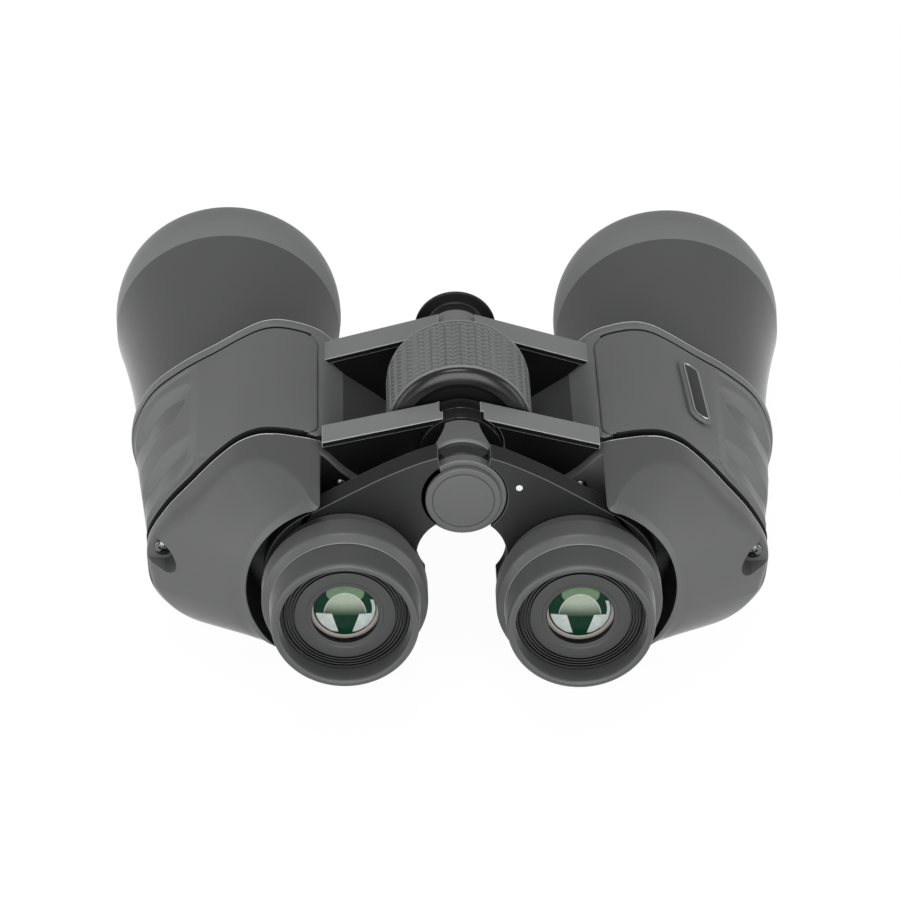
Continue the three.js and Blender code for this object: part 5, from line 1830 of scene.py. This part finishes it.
@dataclass
class Hinge(Assembly):
    """The centre hinge: four arms with their knuckles, axles, sleeve and tripod cap."""

    half_gap: float = 4.8
    reach: float = 35.7
    axle_radius: float = 6.0
    running_gap: float = 0.4
    upper: tuple[float, float] = (29.7, -5.9)
    lower: tuple[float, float] = (18.5, -14.4)
    flange: float = 1.6
    web_recess: float = 1.6
    web_foot: float = -25.0
    web_inset: float = 1.2
    arms: tuple = (Arm("front_hinge_arm", 11.0, 1.7, 13.6, 1.7, 8.0, 8.1, -0.9),
                   Arm("rear_hinge_arm", -35.6, -44.0, -35.6, -45.0, 10.7, 9.8, 2.2))

    def arm(self, arm: Arm, side: Side) -> tuple[bpy.types.Mesh, bpy.types.Mesh]:
        """One arm: a flanged web, cut clear of the other side's knuckle, and its own half.

        Args:
            arm: its sizes.
            side: the half that it stands on.

        Returns:
            The web, and the half knuckle.
        """
        hinge = np.array(AXES.hinge)

        def placed(points: Sequence) -> Array:
            """Points from the hinge axis, on the arm's own side."""
            return np.array(points) * np.array([side.value, 1]) + hinge

        foot = -arm.lug_radius * 0.92
        bury = 2.0
        wing = [[self.half_gap, arm.top_inner], [self.reach, arm.top_outer],
                [self.reach, arm.top_outer - 4.0],
                [self.upper[0] + bury, self.upper[1] - bury],
                [self.lower[0] + bury / 2, self.lower[1] - bury], [self.half_gap, foot],
                [self.half_gap - self.running_gap, foot / 2], [self.half_gap, 0.0]]
        slope = (arm.top_outer - arm.top_inner) / (self.reach - self.half_gap)
        near, far = self.half_gap + self.web_inset, self.reach + 1.0
        web = [[near, arm.top_inner + slope * self.web_inset - self.flange],
               [far, arm.top_outer + slope - self.flange], [far, self.web_foot],
               [near, self.web_foot]]
        own, other = halves(arm.lug_front, arm.lug_rear, side)
        clear = rod(arm.lug_radius + self.running_gap, *other, AXES.hinge)
        bore = rod(self.axle_radius + self.running_gap, arm.lug_front + 1, arm.lug_rear - 1,
                   AXES.hinge)
        wing = carve([prism(placed(wing), arm.front, arm.rear)],
                     [prism(placed(web), arm.rear + self.web_recess, arm.rear - 1),
                      prism(placed(web), arm.front + 1, arm.front - self.web_recess),
                      clear, bore])
        return wing, carve([rod(arm.lug_radius, *own, AXES.hinge)], [bore])

    @staticmethod
    def in_shade(_: Array, facing: Array) -> Array:
        """Picks the faces across Y and the ones that look down."""
        return (np.abs(facing[:, 1]) > 0.7) | (facing[:, 2] < 0.1)

    def collar(self, box: Extent) -> Shell:
        """The sleeve behind the rear knuckle: a tube planed flat along both sides.

        Its half width grows from neck to rim with a power of the way back; each row is a
        circle whose x is held within that half width.

        Args:
            box: the CAD collar's box.

        Returns:
            The closed shell.
        """
        radius, bore, neck, growth, power = 10.3, 3.6, 4.3, 4.0, 1.7
        share = np.concatenate([np.linspace(0, 1, 40), [1.0]])
        half = neck + growth * share ** power
        level = box.front + (box.rear - box.front) * share
        radii = np.full_like(share, radius)
        radii[0] -= 0.3
        radii[-2:] -= [0.0, 0.5]
        level[-2] += 0.5
        part = np.linspace(-1.0, 1.0, 33)[:-1]
        lean = np.arcsin(half / radii)[:, None]
        top = np.stack([radii[:, None] * np.sin(lean * part),
                        radii[:, None] * np.cos(lean * part)], -1)
        edge = radii[:, None] * np.cos(lean)
        right = np.stack([half[:, None] + 0 * part, -edge * part], -1)
        rows = np.concatenate([top, right, -top, -right], axis=1) + np.array(AXES.hinge)
        outer = np.stack([rows[..., 0], level[:, None] + 0 * rows[..., 0], rows[..., 1]], -1)
        bearing = np.arctan2(*(rows[0] - AXES.hinge).T)
        hole = bore * np.stack([np.sin(bearing), np.cos(bearing)], 1) + AXES.hinge
        ends = rings([hole, hole], [box.rear, box.front])
        return Shell().grid(np.concatenate([outer, ends]), wrap_rows=True, wrap_columns=True)

    def tripod_cap(self, box: Extent) -> Shell:
        """The cap over the tripod socket: a wide thin head, domed in front, on a short neck.

        Args:
            box: the CAD cap's box.

        Returns:
            The closed shell.
        """
        head_rear = box.front - 3.2
        neck_rear = head_rear - 3.6
        points = [[0, box.front], [7.8, box.front], [box.radius, head_rear + 0.9],
                  [box.radius, head_rear], [7.6, head_rear], [7.6, neck_rear],
                  [2.8, neck_rear], [2.8, box.rear], [0, box.rear]]
        radii = [0, 1.6, 0.5, 0.35, 0.6, 0.3, 0.2, 0.5, 0]
        return revolve(rounded(points, radii, closed=False, steps=8), AXES.hinge, closed=False)

    def axle(self, box: Extent, bore: float) -> Shell:
        """One hinge axle: a tube with eased ends."""
        return revolve(ring_profile(bore, self.axle_radius, box.front, box.rear, 0.3),
                       AXES.hinge, 96)

    def build(self) -> None:
        """Makes every piece of the hinge."""
        bench, finishes = self.bench, self.finishes
        for arm in self.arms:
            for side in Side:
                name = side.node(arm.name)
                wing, knuckle = self.arm(arm, side)
                # painted light on the tops, painted shade on faces in shade, a painted highlight
                # on the bevels
                bench.stand_in(name, wing, finishes.arm, bevel=0.18, edges=finishes.edge,
                               shaded=[(finishes.web, self.in_shade)])
                rear = arm.name == "rear_hinge_arm"
                # the front knuckles also take the arms' painted light on their tops
                bench.piece(f"{name}_knuckle", knuckle, finishes.wheel if rear else finishes.arm,
                            body=side.barrel, bevel=0.3, slot="body_paint",
                            shaded=[(finishes.web, self.in_shade)])
        for name, bore in (("front_hinge_axle", 3.2), ("rear_hinge_axle", 3.6)):
            bench.stand_in(name, self.axle(Extent.of(name), bore), finishes.steel)
        sleeve = Extent.of("hinge_collar")
        # painted highlight on the collar's rear rim
        bench.stand_in("hinge_collar", self.collar(sleeve), finishes.collar, shaded=[
            (finishes.rim, lambda middle, facing: (
                middle[:, 1] < sleeve.rear + 0.7) & (np.abs(facing[:, 1]) < 0.9))])
        bench.stand_in("tripod_socket_cap", self.tripod_cap(Extent.of("tripod_socket_cap")),
                       finishes.cap)


# ---- focus wheel
@dataclass
class FocusWheel(Assembly):
    """The wheel, its knurled rubber grip and the brass spindle."""

    columns: int = 60
    bead: float = 1.90
    depth: float = 1.0
    thickness: float = 1.6
    shoulder: float = 2.2
    hub_radius: float = 3.6
    spindle_radius: float = 3.2

    def knurl(self, angle: Array, y: Array) -> Array:
        """Change of radius over the grip: rows of slanting beads between axial grooves.

        Args:
            angle: angle round the axis.
            y: place along the axis.

        Returns:
            How far the surface sinks, below zero.
        """
        turn = angle * self.columns / (2 * np.pi)
        across = turn % 1.0
        column = np.floor(turn)
        row = np.sin(np.pi * across) ** 0.45
        slant = np.where(column % 2 == 0, across, -across) * 0.55
        bead = np.abs(np.sin(np.pi * (y / self.bead + slant + 0.5 * column)))
        height = (0.7 + 0.3 * row) * bead ** 0.7
        return -self.depth * (1 - height)

    def grip(self, box: Extent) -> Shell:
        """The grip: a tube whose outer face carries the knurl.

        Args:
            box: the CAD grip's box.

        Returns:
            The closed shell.
        """
        levels = np.linspace(box.front - 0.5, box.rear + 0.5, 112)
        face = np.stack([np.full_like(levels, box.radius), levels], 1)
        inner = box.radius - self.thickness
        points = np.vstack([[[inner, box.front], [box.radius - 0.45, box.front],
                             [box.radius - 0.1, box.front - 0.25]], face,
                            [[box.radius - 0.1, box.rear + 0.25],
                             [box.radius - 0.45, box.rear], [inner, box.rear]]])
        outside = np.r_[0, 0, 0, np.ones(len(levels)), 0, 0, 0][:, None]
        return revolve(points, AXES.hinge, self.columns * 8,
                       relief=lambda angle, y: self.knurl(angle, y) * outside)

    def core(self, box: Extent, grip: Extent) -> Shell:
        """The wheel's core: two bare rims, a rounded rear shoulder and a dished rear face.

        Args:
            box: the CAD wheel's box.
            grip: the CAD grip's box.

        Returns:
            The closed shell.
        """
        bed, rim = grip.radius - self.thickness - GAP, box.radius
        dish = box.rear + 1.8
        turn = np.radians(np.linspace(0.0, 90.0, 16))
        shoulder = np.stack([rim - 0.35 - 3.6 * (1 - np.cos(turn)),
                             grip.rear - GAP - (grip.rear - GAP - box.rear) * np.sin(turn)], 1)
        points = [[self.hub_radius, box.front], [rim, box.front], [rim, grip.front + GAP],
                  [bed, grip.front + GAP], [bed, grip.rear - GAP], *shoulder,
                  [rim - 4.4, box.rear], [rim - 5.6, dish],
                  [8.6, dish], [6.9, box.rear], [self.hub_radius, box.rear]]
        radii = [0.3, 0.5, 0.2, 0.2, 0.2, 0.2, *[0.0] * 15, 0.4, 0.9, 1.2, 0.5, 0.3]
        return revolve(rounded(points, radii, steps=8), AXES.hinge)

    def build(self) -> None:
        """Makes the wheel."""
        bench, finishes = self.bench, self.finishes
        wheel, grip = Extent.of("focus_wheel"), Extent.of("focus_wheel_grip")
        # the front rim: drawn as a bare rim, paled as a painted highlight
        bench.stand_in("focus_wheel", self.core(wheel, grip), finishes.wheel, shaded=[
            (finishes.rim, lambda middle, facing: (
                middle[:, 1] > grip.front) & (np.abs(facing[:, 1]) < 0.9))])
        bench.stand_in("focus_wheel_grip", self.grip(grip), finishes.knurl)
        spindle = Extent.of("focus_spindle")
        radius = self.spindle_radius
        rod_profile = rounded([[0, spindle.front], [radius, spindle.front],
                               [radius, spindle.rear], [0, spindle.rear]], 0.4, closed=False)
        bar = revolve(rod_profile, AXES.hinge, SMALL_SIDES, closed=False)
        bench.stand_in("focus_spindle", bar, finishes.brass)


# ---- eyepiece bridge
@dataclass
class Bridge(Assembly):
    """The bridge that carries the eyepieces: two arms on one hub, its cap and index dot."""

    front: float = -59.0
    rear: float = -65.8
    lug_radius: float = 10.9
    ring_radius: float = 20.7
    bore_radius: float = 16.0
    arch_radius: float = 11.5
    arch_rise: float = 6.2
    half_gap: float = 6.6
    top: float = 11.7
    hub_bore: float = 3.6
    top_edge: tuple = ((11.5, 9.9), (16.0, 7.8), (20.5, 5.5), (25.0, 2.9), (33.6, -2.3),
                       (40.3, -6.4))
    dot_place: tuple[float, float] = (14.1, 2.8)
    dot_radius: float = 0.85
    groove_radius: float = 7.85

    def arm(self, side: Side) -> tuple[bpy.types.Mesh, bpy.types.Mesh]:
        """One arm and its half of the hub.

        Args:
            side: the half that it stands on.

        Returns:
            The wing with its ring, and the lug.
        """
        hinge = np.array(AXES.hinge)
        eye = (side.value * AXES.eye[0], AXES.eye[1])
        rise = AXES.eye[1] - AXES.hinge[1]
        arch = (0.0, AXES.eye[1] + self.arch_rise)
        edge = smooth([(self.half_gap, self.top), *self.top_edge], 40, closed=False)
        foot = rise + self.arch_rise
        wing = np.vstack([edge, [[AXES.eye[0] + 6.0, rise], [self.arch_radius, foot],
                                 [4.2, foot], [4.2, 0.0]]])
        wing = wing * np.array([side.value, 1]) + hinge
        own, other = halves(self.front, self.rear, side)
        through = (self.front + 1, self.rear - 1)
        hub = rod(self.hub_bore, *through, AXES.hinge, 64)
        blade = carve(
            [prism(wing, self.front, self.rear),
             rod(self.ring_radius, self.front, self.rear, eye, 160)],
            [rod(self.lug_radius + 0.4, *other, AXES.hinge, 128),
             rod(self.arch_radius, *through, arch, 128),
             rod(self.bore_radius, *through, eye, 160), hub])
        return blade, carve([rod(self.lug_radius, *own, AXES.hinge, 128)], [hub])

    @staticmethod
    def across(_: Array, facing: Array) -> Array:
        """Picks all faces but the ones that look up, for painted shade."""
        return (np.abs(facing[:, 1]) > 0.7) | (facing[:, 2] < 0.3)

    def cap(self, box: Extent) -> Shell:
        """The hub cap: a flat disc with a ring groove near its edge.

        Args:
            box: the CAD cap's box.

        Returns:
            The closed shell.
        """
        groove = self.groove_radius
        points = [[0, box.front], [box.radius, box.front], [box.radius, box.rear],
                  [groove + 0.14, box.rear], [groove + 0.1, box.rear + 0.35],
                  [groove - 0.1, box.rear + 0.35], [groove - 0.14, box.rear], [0, box.rear]]
        radii = [0, 0.2, 0.5, 0.05, 0.05, 0.05, 0.05, 0]
        return revolve(rounded(points, radii, closed=False), AXES.hinge, closed=False)

    def build(self) -> None:
        """Makes the bridge."""
        bench, finishes = self.bench, self.finishes
        for side in Side:
            name = side.node("bridge_arm")
            blade, lug = self.arm(side)
            # tops take painted light, other faces painted shade, the bevels a paler grey as
            # painted highlight
            bench.stand_in(name, blade, finishes.bridge_edge, bevel=0.2, edges=finishes.ring,
                           shaded=[(finishes.bridge, self.across)])
            bench.piece(f"{name}_lug", lug,
                        finishes.wheel if side is Side.RIGHT else finishes.collar,
                        body=side.eyepiece, bevel=0.3, slot="body_paint")
        bench.stand_in("bridge_hub_cap", self.cap(Extent.of("bridge_hub_cap")), finishes.hub)
        x, z = np.array(AXES.hinge) + self.dot_place
        dot = plate(arc((x, z), self.dot_radius, 0, 360, 32)[:-1], self.rear + 0.1,
                    self.rear - 0.06, 0.03, 2)
        bench.piece("index_dot", dot, finishes.mark, body="right_eyepiece",
                    slot="black_paint")


# ---- eyepieces
@dataclass
class Eyepiece(Assembly):
    """One eyepiece: tube, base ring, outer ring, eyecup, bezel and lenses."""

    side: Side
    tube_radius: float = 15.7
    tube_wall: float = 1.6
    nose_radius: float = 12.6
    skirt_radius: float = 19.5
    cup_mouth: float = 16.6
    hole_radius: float = 8.4
    grooves: tuple[float, ...] = (15.25, 14.5, 13.75, 13.0)
    lens_bulge: float = 0.9

    def turned(self, points: Sequence, radii: Union[float, Sequence[float]],
               steps: int = EDGE_STEPS) -> Shell:
        """A closed profile turned round the eyepiece's axis."""
        shell = revolve(rounded(points, radii, steps=steps), AXES.eye)
        return shell.mirrored(self.side.value)

    def tube(self, box: Extent) -> Shell:
        """The eyepiece tube with its narrow nose.

        Args:
            box: the CAD tube's box.

        Returns:
            The closed shell.
        """
        bore, nose_bore = self.tube_radius - self.tube_wall, self.nose_radius - self.tube_wall
        shoulder, step = -58.2, -60.6
        return self.turned([
            [nose_bore, box.front], [self.nose_radius, box.front], [self.nose_radius, shoulder],
            [self.tube_radius, shoulder], [self.tube_radius, box.rear], [bore, box.rear],
            [bore, step], [nose_bore, step]], 0.25)

    def base_ring(self, box: Extent) -> Shell:
        """The plain ring behind the bridge."""
        return self.turned([
            [16.0, box.front], [box.radius, box.front], [box.radius, box.rear],
            [16.0, box.rear]], [0.2, 0.4, 0.7, 0.2])

    def outer_ring(self, box: Extent) -> Shell:
        """The ring round the base ring: skirt, plain band and chamfered rear.

        Args:
            box: the CAD ring's box.

        Returns:
            The closed shell.
        """
        cup = Extent.of("right_eyecup").radius
        skirt_rear = box.front - 1.9
        return self.turned([
            [self.skirt_radius, box.front], [box.radius, box.front],
            [box.radius, box.rear + 1.7], [cup, box.rear], [16.0, box.rear], [16.0, skirt_rear],
            [self.skirt_radius, skirt_rear]], [0.2, 0.6, 0.7, 0.3, 0.2, 0.2, 0.2])

    def eyecup(self, box: Extent) -> Shell:
        """The eyecup: a slightly tapered tube with a rounded lip."""
        mouth = self.cup_mouth
        return self.turned([
            [mouth, box.front], [box.radius, box.front], [box.radius - 0.35, box.rear + 1.2],
            [box.radius - 0.8, box.rear], [mouth + 0.15, box.rear],
            [mouth - 0.1, box.rear + 1.4]], [0.2, 0.4, 0.9, 1.0, 0.8, 0.8], 8)

    def bezel(self, box: Extent) -> Shell:
        """The flat bezel round the eye lens, with ring grooves and a stepped hole.

        Args:
            box: the CAD bezel's box.

        Returns:
            The closed shell.
        """
        rear, hole = box.rear, self.hole_radius
        points = [[hole + 0.6, box.front], [box.radius, box.front], [box.radius, rear + 0.5],
                  [box.radius - 0.5, rear + 0.5]]
        radii = [0.1, 0.1, 0.1, 0.1]
        for groove in self.grooves:
            points += [[groove + 0.32, rear + 0.05], [groove + 0.16, rear + 0.75],
                       [groove - 0.16, rear + 0.75], [groove - 0.2, rear + 0.05]]
            radii += [0.12, 0.1, 0.1, 0.12]
        points += [[hole + 1.5, rear], [hole + 1.2, rear + 0.25], [hole + 0.2, rear + 0.3],
                   [hole, rear + 0.7]]
        radii += [0.15, 0.15, 0.15, 0.2]
        return self.turned(points, radii, 3)

    def lens(self, box: Extent) -> Shell:
        """The eye lens."""
        return lens(box, self.lens_bulge, AXES.eye, 20).mirrored(self.side.value)

    @staticmethod
    def at_edge(_: Array, facing: Array) -> Array:
        """Picks the chamfers and rounded rims that look back, for painted light."""
        return within(facing[:, 1], -0.97, -0.35)

    @staticmethod
    def at_line(_: Array, facing: Array) -> Array:
        """Picks the last of the rounding before the flat rear, for a painted highlight line."""
        return within(facing[:, 1], -0.96, -0.90)

    def build(self) -> None:
        """Makes every piece of this eyepiece."""
        side, finishes = self.side, self.finishes
        ring = "eyepiece_ring" if side is Side.LEFT else "diopter_ring"
        centre = (side.value * AXES.eye[0], AXES.eye[1])
        stack = PaintedLensReflections(side.node("coated_optics"), centre, self.hole_radius)
        rows = [
            ("eyepiece_tube", self.tube, finishes.tube),
            ("eyepiece_base_ring", self.base_ring, finishes.ring),
            (ring, self.outer_ring, finishes.ring),
            ("eyecup", self.eyecup, finishes.eyecup),
            ("ocular_bezel", self.bezel, finishes.bezel),
            ("eye_lens", self.lens, stack),
        ]
        # painted light on the chamfers and a painted highlight line at the rims
        pale = [(finishes.ring_edge, self.at_edge), (finishes.ring_line, self.at_line)]
        # painted shade: the walls of the bezel's grooves and hole are drawn black
        steps = [(finishes.inner, lambda _, facing: np.abs(facing[:, 1]) < 0.75)]
        shaded = {"ocular_bezel": steps, "eyepiece_base_ring": pale, ring: pale,
                  "eyecup": pale[:1]}
        for node, make, finish in rows:
            name = side.node(node)
            box = Extent.of("right_diopter_ring" if node == ring else f"right_{node}")
            self.bench.stand_in(name, make(box), finish, shaded=shaded.get(node, ()))
        barrel = Extent.of("right_ocular_barrel")
        self.bench.stand_in(side.node("ocular_barrel"), self.turned([
            [10.9, barrel.front], [barrel.radius, barrel.front], [barrel.radius, barrel.rear],
            [8.9, barrel.rear], [8.9, barrel.rear + 0.6], [9.9, barrel.rear + 0.9],
            [9.9, barrel.rear + 6.0], [10.9, barrel.rear + 6.0]], 0.15), finishes.inner)
        self.bench.dress(side.node("field_lens"), finishes.optic)


# ---- studio
@dataclass
class Studio:
    """Pale floor, white surroundings, soft lamps and the camera."""

    floor_size: float = 6.0
    azimuth: float = -2.17
    elevation: float = 32.35
    roll: float = 1.49
    distance: float = 1.31895
    target: tuple[float, float, float] = (0.0, 0.03077, 0.01735)
    lens: float = 192.0
    ambient: float = 0.32
    floor_level: float = -0.05
    aim: tuple[float, float, float] = (0.0, 0.0, 0.04)
    lamps: tuple = (("top_lamp", (-0.12, -0.35, 1.25), 0.5, 4.0),
                    ("rear_lamp", (0.0, -1.2, 0.35), 1.0, 11.0),
                    ("left_lamp", (-1.1, -0.3, 0.3), 0.8, 3.5),
                    ("right_lamp", (1.1, -0.3, 0.3), 0.8, 3.5))

    def world(self) -> None:
        """White for what sees it directly or through glass; softer as a light."""
        world = bpy.data.worlds.new("surroundings")
        bpy.context.scene.world = world
        graph = Graph(world)
        rays = [graph.node("ShaderNodeLightPath", output=f"Is {kind} Ray")
                for kind in ("Camera", "Transmission")]
        seen = graph.node("ShaderNodeMath", {"operation": "MAXIMUM"}, dict(enumerate(rays)))
        level = graph.node("ShaderNodeMapRange", inputs={
            "Value": seen, "To Min": self.ambient, "To Max": 1.0})
        back = graph.node("ShaderNodeBackground", inputs={"Color": grey(1.0), "Strength": level})
        graph.node("ShaderNodeOutputWorld", inputs={"Surface": back})

    def floor(self) -> None:
        """A pale floor that stays white to the camera but for the object's soft shadow."""
        half = self.floor_size / MM / 2
        corners = np.array([[[x, y, self.floor_level] for x in (-half, half)]
                            for y in (-half, half)])
        made = bpy.data.objects.new("floor", Shell().grid(corners).mesh("floor"))
        bpy.context.scene.collection.objects.link(made)
        graph = Graph.of_material("floor_paper")
        made.data.materials.append(graph.owner)
        diffuse = graph.node("ShaderNodeBsdfDiffuse", inputs={"Color": grey(0.9)})
        glow = graph.node("ShaderNodeEmission", inputs={"Color": grey(1.0), "Strength": 1.06})
        seen = graph.node("ShaderNodeLightPath", output="Is Camera Ray")
        mixed = graph.node("ShaderNodeMixShader", inputs={0: seen * 0.9, 1: diffuse, 2: glow})
        graph.node("ShaderNodeOutputMaterial", inputs={"Surface": mixed})

    def lamp(self, name: str, place: tuple, size: float, power: float) -> None:
        """One square soft lamp that faces the object.

        Args:
            name: its name.
            place: where it stands, in metres.
            size: its side, in metres.
            power: its power, in watts.
        """
        data = bpy.data.lights.new(name, "AREA")
        data.shape = "SQUARE"
        data.size = size
        data.energy = power
        made = bpy.data.objects.new(name, data)
        bpy.context.scene.collection.objects.link(made)
        made.location = place
        aim = Vector(self.aim) - Vector(place)
        made.rotation_euler = aim.to_track_quat("-Z", "Y").to_euler()

    def camera(self) -> None:
        """Sets the camera round the target by azimuth, elevation and roll."""
        turn, rise, roll = np.radians([self.azimuth, self.elevation, self.roll])
        back = Vector((np.sin(turn) * np.cos(rise), -np.cos(turn) * np.cos(rise), np.sin(rise)))
        right = (-back).cross(Vector((0, 0, 1))).normalized()
        up = right.cross(-back)
        leant = right * np.cos(roll) + up * np.sin(roll)
        upright = up * np.cos(roll) - right * np.sin(roll)
        data = bpy.data.cameras.new("camera")
        data.lens = self.lens
        data.sensor_width = 36.0
        data.clip_start = 0.05
        data.clip_end = 50.0
        made = bpy.data.objects.new("camera", data)
        bpy.context.scene.collection.objects.link(made)
        frame_axes = Matrix((leant, upright, back)).transposed().to_4x4()
        spot = Vector(self.target) + back * self.distance
        made.matrix_world = Matrix.Translation(spot) @ frame_axes
        bpy.context.scene.camera = made

    def build(self) -> None:
        """Sets the whole studio."""
        bpy.context.scene.view_settings.view_transform = "Standard"
        self.world()
        self.floor()
        for row in self.lamps:
            self.lamp(*row)
        self.camera()


def main() -> None:
    """Builds the studio and every sub-assembly."""
    logging.basicConfig(level=logging.INFO, format="%(name)s: %(message)s")
    Studio().build()
    bench = Bench(Finishes())
    for side in Side:
        Objective(bench, side).build()
        PrismHousing(bench, side).build()
        RearCover(bench, side).build()
        Eyepiece(bench, side).build()
    Badge(bench).build()
    Hinge(bench).build()
    FocusWheel(bench).build()
    Bridge(bench).build()


if __name__ == "__main__":
    main()
